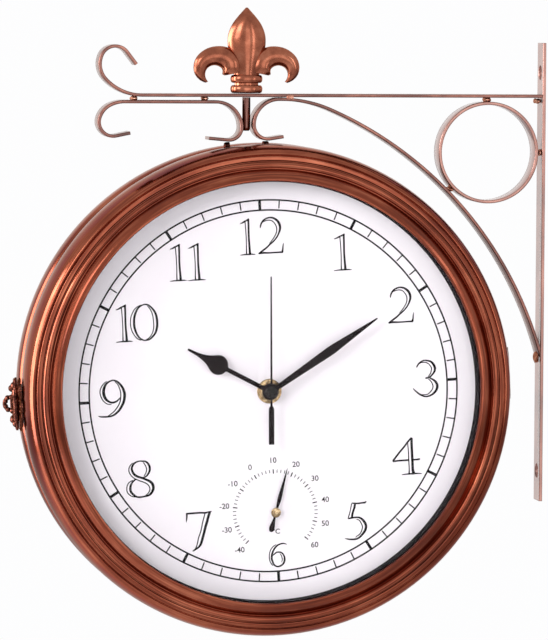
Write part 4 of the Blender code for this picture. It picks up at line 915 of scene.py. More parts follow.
# Each stroke holds (x, y, width) points, in hundredths of the digit's height. Their places were
# read in enlarged parts of the photograph, and another script converted them to this unit.
GLYPHS: dict[str, tuple[Stroke, ...]] = {
    "1": (
        ((4, 88, 0.9), (11, 90, 2.2), (17, 93, 3.2), (24, 96, 2.6), (30, 99, 3.0), (32, 100, 0.9)),
        ((29, 98, 4.0), (29, 83, 3.7), (28, 47, 3.7), (29, 11, 4.6), (29, 1, 6.4)),
        ((19, 93, 1.3), (20, 65, 1.2), (20, 38, 1.2), (19, 11, 1.7), (19, 2, 2.6)),
        ((0, 0, 0.6), (11, 1, 1.7), (19, 1, 2.3), (29, 1, 2.6), (36, 1, 1.9), (45, 0, 0.6)),
    ),
    "0": (
        ((40, 100, 2.2), (30, 96, 2.5), (21, 88, 3.4), (15, 77, 4.2), (11, 64, 4.6), (10, 53, 4.6),
         (10, 41, 4.6), (13, 27, 4.2), (18, 15, 3.5), (25, 6, 2.8), (36, 0, 2.3)),
        ((31, 99, 0.8), (16, 91, 1.2), (8, 80, 1.2), (2, 67, 1.2), (0, 54, 1.2), (0, 42, 1.2),
         (3, 28, 1.2), (9, 16, 1.2), (17, 6, 1.2), (27, 1, 0.8)),
        ((40, 100, 2.2), (51, 98, 2.5), (61, 89, 3.5), (69, 77, 4.2), (73, 64, 4.6), (74, 49, 4.7),
         (73, 35, 4.6), (68, 20, 4.2), (60, 10, 3.5), (50, 2, 2.6), (36, 0, 2.2)),
        ((49, 96, 0.8), (55, 88, 1.2), (60, 78, 1.2), (63, 65, 1.2), (64, 50, 1.2), (64, 37, 1.2),
         (61, 24, 1.2), (56, 14, 1.2), (49, 6, 1.2), (41, 2, 0.8)),
    ),
    "2": (
        ((9, 72, 0.6), (10, 79, 2.6), (15, 89, 3.1), (23, 96, 2.9), (36, 100, 3.0), (49, 98, 3.8),
         (60, 90, 5.0), (66, 79, 5.3), (67, 68, 4.7), (63, 56, 3.3), (56, 44, 2.7), (46, 33, 2.6),
         (34, 24, 2.9), (23, 15, 3.3), (12, 8, 3.3), (0, 0, 2.6)),
        ((16, 88, 0.8), (25, 92, 1.2), (36, 93, 1.3), (45, 90, 1.3), (53, 81, 1.3), (57, 69, 1.4),
         (55, 56, 1.3), (48, 44, 1.3), (40, 34, 1.2), (33, 27, 0.8)),
        ((0, 0, 2.1), (12, 2, 4.0), (28, 1, 3.1), (46, 1, 2.7), (63, 1, 3.1), (72, 1, 4.4)),
        ((70, 1, 4.2), (72, 10, 2.7), (73, 18, 1.7), (75, 26, 0.4)),
    ),
    "3": (
        ((12, 82, 2.1), (17, 90, 2.6), (24, 96, 2.5), (33, 100, 2.3), (44, 99, 2.8), (54, 95, 4.2),
         (61, 86, 5.4), (64, 76, 5.0), (61, 66, 3.9), (55, 59, 3.3), (48, 53, 3.3), (40, 51, 3.7),
         (35, 51, 1.0)),
        ((18, 90, 0.8), (24, 94, 1.1), (33, 95, 1.2), (42, 93, 1.3), (49, 87, 1.3), (54, 78, 1.4),
         (53, 70, 1.4), (50, 62, 1.3), (44, 55, 0.9)),
        ((48, 50, 2.2), (56, 46, 3.4), (64, 39, 4.8), (68, 29, 5.6), (66, 18, 5.4), (59, 9, 4.8),
         (50, 3, 3.6), (40, 0, 2.8), (32, 0, 2.6), (24, 3, 3.0), (16, 8, 3.0), (8, 15, 2.5), (2, 21, 1.6),
         (0, 25, 0.4)),
        ((44, 48, 0.9), (50, 42, 1.3), (54, 35, 1.4), (56, 26, 1.4), (53, 18, 1.4), (47, 11, 1.3),
         (40, 6, 1.2), (31, 5, 1.1), (22, 6, 0.8)),
    ),
    "4": (
        ((56, 100, 3.3), (45, 89, 3.3), (33, 75, 3.3), (17, 58, 3.4), (1, 39, 4.0)),
        ((0, 38, 2.9), (16, 39, 3.3), (31, 39, 3.2), (45, 39, 3.2)),
        ((58, 39, 2.9), (68, 39, 3.2), (76, 40, 3.6)),
        ((56, 99, 4.5), (55, 84, 5.2), (55, 66, 5.2), (55, 48, 5.4), (55, 30, 5.4), (55, 11, 5.7),
         (57, 1, 8.0)),
        ((44, 86, 1.2), (45, 67, 1.3), (45, 49, 1.4), (45, 30, 1.4), (45, 12, 1.7), (44, 2, 2.6)),
        ((24, 0, 0.6), (35, 1, 1.8), (46, 1, 2.6), (57, 1, 3.1), (66, 1, 2.0), (79, 0, 0.6)),
    ),
    "5": (
        ((23, 97, 1.4), (30, 96, 2.4), (41, 95, 2.8), (52, 96, 3.0), (59, 96, 3.3), (63, 100, 0.9)),
        ((32, 95, 4.3), (30, 85, 4.3), (26, 75, 4.1), (23, 65, 4.3), (22, 59, 4.6)),
        ((23, 96, 1.2), (20, 84, 1.2), (17, 73, 1.2), (13, 62, 1.4), (11, 56, 1.2)),
        ((11, 56, 1.4), (18, 57, 3.2), (24, 58, 3.5)),
        ((24, 58, 3.1), (36, 58, 3.1), (44, 56, 3.8), (52, 49, 4.8), (57, 41, 5.2), (59, 32, 5.0),
         (56, 22, 5.2), (50, 14, 4.6), (42, 6, 3.9), (33, 1, 3.3), (22, 0, 3.1), (11, 1, 2.5), (0, 4, 0.4)),
        ((34, 53, 0.7), (41, 50, 1.1), (45, 44, 1.4), (48, 37, 1.4), (49, 30, 1.5), (46, 21, 1.4),
         (41, 13, 1.2), (33, 8, 1.1), (29, 5, 0.7)),
    ),
    "6": (
        ((79, 95, 0.6), (70, 99, 2.4), (60, 100, 3.7), (50, 98, 4.0), (38, 93, 4.5), (27, 83, 4.9),
         (17, 68, 5.7), (12, 53, 6.1), (10, 37, 6.1), (13, 25, 5.5), (17, 13, 4.9), (25, 4, 4.3),
         (35, 0, 4.3), (46, 2, 4.7), (57, 8, 5.2), (64, 18, 5.7), (67, 30, 5.7), (66, 42, 4.9),
         (61, 53, 4.1), (53, 61, 3.8), (44, 63, 3.9), (33, 63, 3.7), (24, 57, 3.0), (15, 50, 1.4)),
        ((33, 97, 0.9), (20, 90, 1.7), (9, 78, 1.8), (3, 65, 1.8), (0, 49, 1.9), (0, 36, 1.9),
         (3, 23, 1.8), (9, 12, 1.7), (14, 6, 0.9)),
        ((47, 57, 0.8), (53, 48, 1.6), (56, 36, 1.8), (56, 27, 1.7), (53, 19, 0.8)),
    ),
    "7": (
        ((0, 98, 2.4), (10, 98, 3.4), (23, 98, 3.3), (38, 98, 3.3), (50, 97, 3.1), (61, 99, 2.4),
         (67, 100, 0.5)),
        ((2, 98, 3.0), (2, 90, 2.9), (1, 84, 2.0), (0, 76, 0.3)),
        ((62, 98, 4.7), (57, 86, 5.2), (53, 73, 5.2), (48, 59, 5.2), (44, 45, 5.0), (40, 33, 5.0),
         (36, 21, 4.9), (31, 12, 4.1), (23, 6, 3.0), (16, 2, 2.6), (12, 0, 0.5)),
        ((49, 95, 1.4), (45, 83, 1.4), (41, 70, 1.4), (38, 57, 1.4), (34, 45, 1.4), (29, 33, 1.4),
         (26, 21, 1.3), (22, 10, 1.2), (17, 3, 0.7)),
    ),
    "8": (
        ((40, 100, 2.2), (31, 98, 2.8), (22, 92, 3.9), (17, 81, 4.3), (19, 71, 4.5), (24, 63, 4.9),
         (33, 57, 4.5), (44, 53, 4.2), (55, 48, 4.5), (66, 42, 5.4), (73, 34, 5.9), (75, 23, 5.9),
         (71, 13, 5.4), (65, 6, 4.5), (56, 2, 3.3), (46, 1, 2.9), (36, 0, 3.4), (26, 2, 3.4),
         (17, 9, 4.2), (11, 17, 4.7), (10, 26, 5.1), (12, 35, 4.2), (17, 43, 3.3), (23, 48, 3.2),
         (28, 51, 2.2)),
        ((40, 100, 2.0), (49, 99, 2.6), (58, 97, 3.3), (65, 89, 4.3), (68, 78, 4.5), (66, 69, 4.0),
         (61, 61, 3.3), (55, 56, 2.7), (48, 54, 2.5)),
        ((20, 96, 0.9), (13, 89, 1.3), (9, 81, 1.4), (9, 72, 1.4), (13, 63, 1.4), (20, 55, 1.4),
         (28, 50, 1.4), (38, 45, 1.4), (48, 41, 1.4), (57, 36, 1.4), (63, 29, 1.5), (65, 21, 1.5),
         (62, 13, 1.4), (57, 7, 1.2), (50, 3, 0.7)),
        ((50, 96, 0.7), (55, 88, 1.3), (58, 80, 1.4), (58, 72, 1.4), (55, 64, 1.2), (50, 58, 0.8)),
        ((18, 48, 0.9), (8, 43, 1.3), (2, 35, 1.4), (0, 26, 1.4), (1, 16, 1.4), (7, 8, 1.3), (15, 3, 1.2),
         (23, 1, 0.8)),
    ),
    "9": (
        ((42, 100, 2.1), (52, 98, 2.9), (60, 93, 3.4), (68, 83, 4.7), (73, 73, 5.4), (76, 61, 5.9),
         (75, 48, 5.9), (72, 37, 5.6), (66, 26, 4.9), (59, 16, 4.7), (50, 8, 4.0), (40, 2, 3.4),
         (28, 0, 3.0), (15, 0, 3.1), (6, 1, 2.1), (0, 3, 0.4)),
        ((43, 99, 2.4), (34, 96, 3.2), (25, 89, 4.7), (20, 79, 5.9), (18, 69, 6.6), (19, 59, 6.6),
         (23, 49, 5.9), (29, 43, 4.3), (36, 39, 3.7), (44, 38, 3.7), (53, 41, 3.0), (58, 45, 2.3),
         (64, 50, 1.4)),
        ((28, 98, 0.9), (18, 90, 1.3), (11, 80, 1.4), (8, 70, 1.4), (9, 60, 1.4), (13, 49, 1.4),
         (19, 41, 1.3), (27, 35, 1.2), (38, 33, 0.7)),
        ((51, 95, 0.7), (58, 88, 1.2), (62, 78, 1.3), (65, 67, 1.4), (65, 54, 1.4), (63, 42, 1.4),
         (59, 32, 1.4), (52, 22, 1.3), (44, 13, 1.3), (34, 6, 1.2), (27, 2, 0.7)),
    ),
}


@dataclass(frozen=True)
class Digit:
    """One printed digit and its box on the dial."""

    glyph: str
    left: float
    right: float
    base: float
    top: float
    swell: float = 0.38

    def draw(self, shape: Shape, height: float) -> None:
        """Draw the digit's strokes at a height."""
        strokes = GLYPHS[self.glyph]
        reach = max(x for stroke in strokes for x, _, _ in stroke)
        across = (self.right - self.left) / reach
        up = (self.top - self.base) / 100
        for index, points in enumerate(strokes):
            drawn = [
                (self.left + x * across, self.base + y * up, width * up + self.swell)
                for x, y, width in points
            ]
            shape.stroke(drawn, height + index * 0.002)


# The sides of each digit's box, in millimetres from the dial's middle, converted in the same way
DIGITS = (
    Digit("1", -13.4, -4.2, 83.4, 105.1), Digit("2", -2.2, 13.4, 83.6, 105.1),
    Digit("1", 43.5, 54.4, 70.6, 92.5), Digit("2", 75.5, 91.4, 36.7, 58.0),
    Digit("3", 88.8, 103.7, -9.4, 12.6), Digit("4", 73.8, 91.4, -56.3, -33.9),
    Digit("5", 42.0, 56.3, -93.7, -70.8), Digit("6", -5.1, 5.9, -107.1, -93.2),
    Digit("7", -54.8, -38.9, -94.1, -70.6), Digit("8", -90.0, -73.8, -59.1, -37.2),
    Digit("9", -104.9, -88.3, -9.1, 12.8), Digit("1", -91.7, -81.7, 35.4, 57.7),
    Digit("0", -82.4, -66.2, 35.5, 57.3), Digit("1", -57.0, -47.0, 70.2, 92.2),
    Digit("1", -45.9, -35.4, 69.9, 92.1),
)


@dataclass(frozen=True)
class Dial(FacePart):
    """The CAD dial's paint, with its printed track and numerals."""

    track: Point = (109.4, 116.5)
    line: float = 1.0
    thin: float = 0.8
    thick: float = 1.75
    short: float = 0.78
    height: float = DIAL_FRONT + PRINT_HEIGHT

    def bar(self, shape: Shape, angle: float, span: Point, width: float, height: float) -> None:
        """Draw one radial line.

        Args:
            shape: The shape that the line goes into.
            angle: The line's angle clockwise from 12.
            span: Its inner and outer radius.
            width: Its width.
            height: Its height.
        """
        along = Vector((math.sin(angle), math.cos(angle)))
        across = Vector((along.y, -along.x)) * width / 2
        inner, outer = (along * radius for radius in span)
        corners = (inner - across, inner + across, outer + across, outer - across)
        shape.flat([tuple(corner) for corner in corners], height)

    def minute_track(self) -> Shape:
        """Draw the two circles and the sixty marks between them."""
        inner, outer = self.track
        shape = Shape().band(outer - self.line, outer, self.height, 240)
        shape.band(inner, inner + self.line, self.height, 240)
        for minute, angle in enumerate(turns(60)):
            if minute % 5 == 0:
                self.bar(shape, angle, (inner, outer), self.thick, self.height + 0.004)
            else:
                start = outer - self.short * (outer - inner)
                self.bar(shape, angle, (start, outer), self.thin, self.height + 0.004)
        return shape

    def build(self) -> None:
        """Paint the CAD sheet and add its print."""
        name = self.name
        numerals = Shape()
        for digit in DIGITS:
            digit.draw(numerals, self.height)
        low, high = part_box(name + "_dial")
        log.info("%s dial spans %.1f mm", name, (high.x - low.x) / MILLIMETRE)
        for slot in bpy.data.objects[name + "_dial"].material_slots:
            slot.link = "OBJECT"
            slot.material = DIAL_PAINT.material()
        self.minute_track().place(name + "_minute_track", self.frame, INK, self.body, merge=False)
        numerals.place(name + "_numerals", self.frame, INK, self.body, merge=False)


@dataclass(frozen=True)
class ThermometerPrint:
    """The scale of the small thermometer, in the lower half of the front dial."""

    body: str = "front_half"
    coldest: int = -40
    hottest: int = 60
    sweep: float = math.radians(266.0)
    marks: Point = (24.1, 26.1)
    thin: float = 0.55
    thick: float = 0.72
    figures: float = 31.6
    figure_height: float = 3.4
    unit_height: float = 3.1
    unit_drop: float = 11.8
    letter_share: float = 1.38
    height: float = DIAL_FRONT + PRINT_HEIGHT

    def angle(self, degrees: float) -> float:
        """Return the angle clockwise from the top at which a temperature stands."""
        share = (degrees - self.coldest) / (self.hottest - self.coldest)
        return self.sweep * (share - 0.5)

    def figure(self, shape: Shape, text: str, place: Point, height: float) -> None:
        """Write a plain figure, centred on a place.

        Args:
            shape: The shape that it goes into.
            text: What to write.
            place: Its middle.
            height: Its height in millimetres.
        """
        curve = bpy.data.curves.new("figure", "FONT")
        curve.body = text
        curve.size = height * self.letter_share
        curve.align_x = "CENTER"
        curve.align_y = "CENTER"
        curve.offset = 0.018 * height
        letter = add_object("figure", curve)
        graph = bpy.context.evaluated_depsgraph_get()
        mesh = bpy.data.meshes.new_from_object(letter.evaluated_get(graph))
        shape.take(mesh, Matrix.Translation((place[0], place[1], self.height)))
        bpy.data.objects.remove(letter)
        bpy.data.curves.remove(curve)
        bpy.data.meshes.remove(mesh)

    def build(self) -> None:
        """Add the marks and the figures."""
        marks = Shape()
        majors = Shape()
        figures = Shape()
        dial = Dial(Side.FRONT)
        inner, outer = self.marks
        for degrees in range(self.coldest, self.hottest + 1, 2):
            angle = self.angle(degrees)
            if degrees % 10:
                dial.bar(marks, angle, self.marks, self.thin, self.height)
                continue
            dial.bar(majors, angle, (inner - 0.6, outer + 0.2), self.thick, self.height)
            place = (self.figures * math.sin(angle), self.figures * math.cos(angle))
            self.figure(figures, str(degrees), place, self.figure_height)
        self.figure(figures, "\u00b0C", (0.0, -self.unit_drop), self.unit_height)
        prints = (("marks", marks, GREY_INK), ("long_marks", majors, INK), ("figures", figures, INK))
        for name, shape, ink in prints:
            shape.place("thermometer_" + name, THERMOMETER, ink, self.body, merge=False)


# Hands


@dataclass(frozen=True)
class Hands(FacePart):
    """The hour, minute and second hands of one face."""

    hour_angle: float = math.radians(-59.5)
    minute_angle: float = math.radians(59.0)
    second_angle: float = math.radians(2.8)
    hour_back: float = 27.2
    minute_back: float = 29.0
    second_back: float = 30.8
    thickness: float = 0.6
    edge: float = 0.15
    hour_length: float = 57.0
    hour_hub: float = 5.1
    hour_stem: float = 1.35
    bulb_place: float = 36.0
    bulb: float = 6.0
    taper: tuple[Point, ...] = ((0.15, 0.86), (0.24, 0.65), (0.38, 0.41), (0.58, 0.23), (0.78, 0.15))
    minute_length: float = 79.0
    minute_hub: float = 4.4
    second_length: float = 70.2
    second_tail: float = 31.8
    boss: float = 3.7
    minute_stem: float = 1.5
    minute_neck: tuple[Point, ...] = ((1.5, 4.2), (1.75, 12.0), (2.3, 30.0), (2.72, 42.0))
    minute_tip: tuple[Point, ...] = ((2.75, 45.0), (2.62, 47.5), (0.45, 78.4), (0.2, 78.85))
    counterweight: tuple[Point, ...] = (
        (1.65, -10.4), (1.45, -9.4), (0.9, -8.7), (0.65, -8.2), (0.65, 0.0), (0.62, 3.7),
    )

    def outline(self, hub: float, stem: float, right: Sequence[Point]) -> list[Point]:
        """Return a hand's outline, closed round its hub."""
        meet = math.asin(stem / hub)
        top = math.pi / 2
        return mirrored(right) + arc((0.0, 0.0), (hub, hub), top + meet, top - meet + math.tau, 40)

    def hour_side(self) -> list[Point]:
        """Return the hour hand's right side."""
        meet = math.asin(self.hour_stem / self.bulb)
        bulb = (self.bulb, self.bulb)
        right = arc((0.0, self.bulb_place), bulb, meet - math.pi / 2, math.radians(25.0), 22)
        reach = self.hour_length - self.bulb_place
        taper = [(self.bulb * wide, self.bulb_place + reach * along) for along, wide in self.taper]
        tip = 0.75
        right += eased([right[-1]] + taper + [(tip, self.hour_length - tip)], 4)[1:]
        right += arc((0.0, self.hour_length - tip), (tip, tip), 0.0, math.pi / 2, 4)[1:-1]
        return right + [(0.0, self.hour_length)]

    def minute_side(self) -> list[Point]:
        """Return the minute hand's right side, a long lance."""
        return [*eased(self.minute_neck, 3), *self.minute_tip, (0.0, self.minute_length)]

    def second_shape(self) -> Shape:
        """Return the second hand's blade with its counterweight."""
        tail = -self.second_tail
        right = [(0.0, tail), (1.45, tail), (1.65, tail + 0.2), *self.counterweight]
        right += [(0.42, self.second_length - 0.5), (0.0, self.second_length)]
        low = self.second_back
        return Shape().slab(mirrored(right), low, low + 0.5, 0.08)

    def boss_shape(self) -> Shape:
        """Return the second hand's domed boss and its shaft."""
        low = self.second_back
        shaft = [(0.65, low - 10.0), (0.65, low - 0.1), (self.boss - 0.2, low - 0.1), (self.boss, low + 0.1)]
        return Shape().lathe(shaft + arc((0.0, low + 0.7), (self.boss, 1.1), 0.0, math.pi / 2, 10), 48)

    def build(self) -> None:
        """Add the three hands."""
        name = self.name
        hour = self.outline(self.hour_hub, self.hour_stem, self.hour_side())
        minute = self.outline(self.minute_hub, self.minute_stem, self.minute_side())
        for hand, points, back, angle in (
            ("hour", hour, self.hour_back, self.hour_angle),
            ("minute", minute, self.minute_back, self.minute_angle),
        ):
            turned = self.frame.inside((0.0, 0.0, 0.0), (0.0, 0.0, -angle))
            shape = Shape().slab(points, back, back + self.thickness, self.edge)
            label = f"{name}_{hand}_hand"
            shape.place(label + "_blade", turned, HAND_LACQUER, f"{name}_{hand}", [label], 50.0)
        turned = self.frame.inside((0.0, 0.0, 0.0), (0.0, 0.0, -self.second_angle))
        label = name + "_second_hand"
        body = name + "_second"
        self.second_shape().place(label + "_blade", turned, HAND_LACQUER, body, [label], 50.0)
        self.boss_shape().place(label + "_boss", turned, BOSS_LACQUER, body, angle=50.0)


@dataclass(frozen=True)
class HubFixing(FacePart):
    """The brass washer, nut and bush under the hands."""

    washer: tuple[Point, ...] = (
        (3.9, 22.8), (7.35, 22.8), (7.5, 22.95), (7.5, 23.2), (7.3, 23.4), (6.9, 23.34), (6.6, 23.4),
        (3.9, 23.4),
    )
    nut: tuple[Point, ...] = ((3.9, 23.7), (4.9, 23.7), (5.2, 24.0), (5.2, 25.5), (4.8, 25.9), (3.9, 25.9))
    bush: tuple[Point, ...] = ((2.8, 21.5), (3.6, 21.5), (3.6, 26.1), (3.4, 26.3), (2.8, 26.3))

    def build(self) -> None:
        """Add the three rings with their rounded edges."""
        rings = (("washer", self.washer, 72), ("nut", self.nut, 48), ("bush", self.bush, 40))
        for piece, section, steps in rings:
            shape = Shape().lathe(section, steps, ring=True)
            shape.place(f"{self.name}_hub_{piece}", self.frame, BRASS, self.body, [f"{self.name}_{piece}"])


@dataclass(frozen=True)
class ThermometerNeedle:
    """The thermometer's pointer with its paddle tail and its brass pivot."""

    body: str = "thermometer_needle"
    angle: float = math.radians(17.7)
    back: float = 24.3
    length: float = 27.9
    tail: float = 12.2
    thickness: float = 0.4
    paddle: tuple[Point, ...] = ((0.0, 0.0), (0.8, 0.25), (1.35, 0.9), (1.6, 1.9))
    blade: tuple[Point, ...] = (
        (1.58, -8.4), (1.25, -7.2), (0.85, -5.0), (0.6, -2.4), (0.6, 2.4), (1.1, 7.0), (1.2, 8.6),
        (1.02, 13.0), (0.55, 21.5), (0.14, 27.5),
    )

    def build(self) -> None:
        """Add the pointer and the pivot."""
        frame = THERMOMETER.inside((0.0, 0.0, 0.0), (0.0, 0.0, -self.angle))
        back = self.back
        front = back + self.thickness
        right = [(x, y - self.tail) for x, y in self.paddle] + [*self.blade, (0.0, self.length)]
        pointer = Shape().slab(mirrored(right), back, front, 0.08)
        hub = [(1.2, back), (2.4, back), (2.4, front - 0.08), (2.3, front), (1.2, front)]
        pointer.lathe(hub, 40, ring=True)
        replaced = ["thermometer_pointer"]
        pointer.place("thermometer_needle_blade", frame, HAND_LACQUER, self.body, replaced, 50.0)
        low = front + FIT
        pivot = Shape().lathe(
            [(0.0, 14.8), (0.9, 15.0), (0.9, low), (2.9, low), (3.0, low + 0.1)]
            + arc((0.0, low + 0.1), (3.0, 0.5), 0.1, math.pi / 2, 8), 40,
        )
        pivot.place("thermometer_pivot", frame, BRASS, self.body, ["thermometer_spindle"], 50.0)


# Works


@dataclass(frozen=True)
class Movement(FacePart):
    """One quartz movement: housing, cell, contact, knob, tubes and retaining ring."""

    back: float = 5.2
    cell_drop: float = 17.0
    cell_radius: float = 7.1
    cell_length: float = 49.2
    cap: float = 2.75
    knob_rise: float = 11.0
    knob_radius: float = 6.5
    knob_thickness: float = 2.3
    knob_teeth: int = 24
    arbor: float = 15.5
    coils: int = 4
    spring_place: float = 25.0
    spring_length: float = 0.27
    spring_radius: float = 3.6
    spring_taper: float = 0.9
    ribs: int = 7
    rib_pitch: float = 6.0
    screws: tuple[Point, ...] = ((-23.5, 23.5), (23.5, 23.5), (-23.5, 1.0), (23.5, 1.0))

    def housing(self) -> None:
        """Add the housing with softened edges, and the ribs and screws on its back."""
        name = self.name + "_movement"
        shape = Shape().take_node(name)
        soften(shape.place(name + "_housing", ROW, PLASTIC, self.body, [name]), 0.5)
        ribs = Shape()
        for index in range(self.ribs):
            x = self.rib_pitch * (index - (self.ribs - 1) / 2)
            ribs.slab(rounded_box(1.6, 3.2, 0.5, (x, 22.0)), self.back + 0.1, self.back - 0.5)
        ribs.place(name + "_ribs", self.frame, PLASTIC, self.body)
        screws = Shape()
        for x, y in self.screws:
            screws.dome((x, y, self.back), 1.9, -0.7)
        screws.place(name + "_screws", self.frame, STEEL, self.body)

    def contact(self) -> None:
        """Add the coiled spring that presses on the cell's flat end."""
        steps = self.coils * 18
        middle = self.back + FIT + self.cell_radius
        path = []
        for index in range(steps + 1):
            angle = math.tau * index / 18
            along = index / steps
            radius = self.spring_radius - self.spring_taper * along
            height = radius * math.sin(angle) - self.cell_drop
            x = -self.spring_place - self.spring_length * along
            path.append((x, height, middle + radius * math.cos(angle)))
        spring = Shape().cord(path, 0.1, AXIS_X)
        spring.place(self.name + "_contact_spring", self.frame, STEEL, self.body)

    def cell(self) -> None:
        """Add the cell: a dark wrap with a copper band, and bright ends."""
        name = self.name + "_cell"
        radius = self.cell_radius
        middle = (0.0, -self.cell_drop, self.back + FIT + radius)
        lying = self.frame.inside(middle, (0.0, math.pi / 2, 0.0))
        top = (self.cell_length + 1.3) / 2
        low = -top
        high = low + self.cell_length
        wrap = Shape().lathe(
            [(radius - 1.4, low), (radius - 0.3, low), (radius, low + 0.3), (radius, high - 12.0),
             (radius, high - 0.5), (radius - 0.5, high), (radius - 1.6, high)], 64,
        )
        wrap.place(name + "_wrap", lying, CELL_WRAP, self.body, [self.name + "_battery"])
        band = Shape().lathe([(radius + 0.02, high - 11.5), (radius + 0.02, high - 0.8)], 64)
        band.place(name + "_band", lying, BRACKET_COPPER, self.body)
        cap = self.cap
        ends = Shape().lathe(
            [(0.0, top), (cap - 0.4, top), (cap, top - 0.4), (cap, high), (radius - 1.5, high)], 48,
        )
        ends.lathe([(0.0, low), (radius - 1.3, low)], 48)
        ends.place(name + "_ends", lying, STEEL, self.body)

    def knob(self) -> None:
        """Add the setting knob with its fine teeth, the disc on it and its stem."""
        name = self.name
        middle = self.frame.inside((0.0, self.knob_rise, 0.0))
        top = self.back - FIT
        low = top - self.knob_thickness
        outline = []
        for angle in turns(4 * self.knob_teeth):
            tooth = 0.5 + 0.5 * math.cos(self.knob_teeth * angle)
            radius = self.knob_radius - 0.55 * (1 - tooth) ** 2
            outline.append((radius * math.cos(angle), radius * math.sin(angle)))
        wheel = Shape().slab(outline, top, low, 0.25)
        wheel.lathe([(0.0, low), (4.0, low), (4.1, low + 0.1)], 48)
        wheel.lathe([(1.5, top - 0.2), (1.5, top + 4.1), (0.0, top + 4.1)], 32)
        wheel.place(name + "_knob_wheel", middle, PLASTIC, name + "_knob", [name + "_setting_knob"], 40.0)

    def tubes(self) -> None:
        """Add the two brass tubes that carry the hour and minute hands."""
        low = self.arbor
        for hand, bore, radius, top in (("hour", 1.9, 2.5, 28.0), ("minute", 0.95, 1.6, 29.8)):
            section = [(bore, low), (radius, low), (radius, top - 0.12), (radius - 0.12, top), (bore, top)]
            label = f"{self.name}_{hand}"
            shape = Shape().lathe(section, 40, ring=True)
            shape.place(label + "_arbor", self.frame, BRASS, label, [label + "_tube"])

    def ring(self) -> None:
        """Add the sprung ring behind the dial, where the CAD ring lies."""
        name = self.name
        low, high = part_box(name + "_retaining_ring")
        outer = (high.x - low.x) / 2 / MILLIMETRE - 0.02
        top = DIAL_BACK
        section = [
            (outer - 2.9, top - 1.5), (outer - 2.7, top - 1.7), (outer - 0.3, top - 1.7), (outer, top - 1.4),
            (outer, top - 0.2), (outer - 0.2, top), (outer - 2.7, top), (outer - 2.9, top - 0.2),
        ]
        shape = Shape().lathe(section, 160, ring=True)
        shape.place(name + "_spring_ring", self.frame, STEEL, self.body, [name + "_retaining_ring"])

    def build(self) -> None:
        """Add all pieces of the movement."""
        for add in (self.housing, self.contact, self.cell, self.knob, self.tubes, self.ring):
            add()


@dataclass(frozen=True)
class ThermometerWorks:
    """The steel cup and the bimetal spiral behind the front dial."""

    body: str = "front_half"
    radius: float = 18.0
    depth: float = 7.2
    wall: float = 0.8
    spindle: float = 0.9
    coils: int = 3
    strip: Point = (0.25, 4.0)

    def cup(self) -> None:
        """Add the cup that holds the spiral."""
        front = DIAL_BACK
        back = front - self.depth
        floor = back + self.wall
        outer = self.radius
        inner = outer - self.wall
        cup = Shape().lathe(
            [(0.0, back + 0.2), (5.0, back + 0.2), (5.4, back), (outer - 0.8, back), (outer, back + 0.8),
             (outer, front), (inner, front), (inner, floor), (0.0, floor)], 72,
        )
        cup.place("thermometer_cup_pressing", THERMOMETER, STEEL, self.body, ["thermometer_cup"])

    def spiral(self) -> None:
        """Add the bimetal spiral between the spindle and the cup's wall."""
        half, tall = self.strip
        low = DIAL_BACK - self.depth + self.wall + FIT
        first = self.spindle + FIT + half
        last = self.radius - self.wall - 2 * FIT - half
        steps = self.coils * 48
        rings = []
        for index in range(steps + 1):
            angle = math.tau * index / 48
            radius = first + (last - first) * index / steps
            out = Vector((math.cos(angle), math.sin(angle), 0.0))
            rings.append([
                out * (radius + through) + AXIS_Z * height
                for through, height in ((-half, low), (half, low), (half, low + tall), (-half, low + tall))
            ])
        coil = Shape().skin(rings)
        coil.place("thermometer_spiral", THERMOMETER, BIMETAL, self.body, ["thermometer_coil"])

    def build(self) -> None:
        """Add the cup and the spiral."""
        self.cup()
        self.spiral()


# Hinge and latch


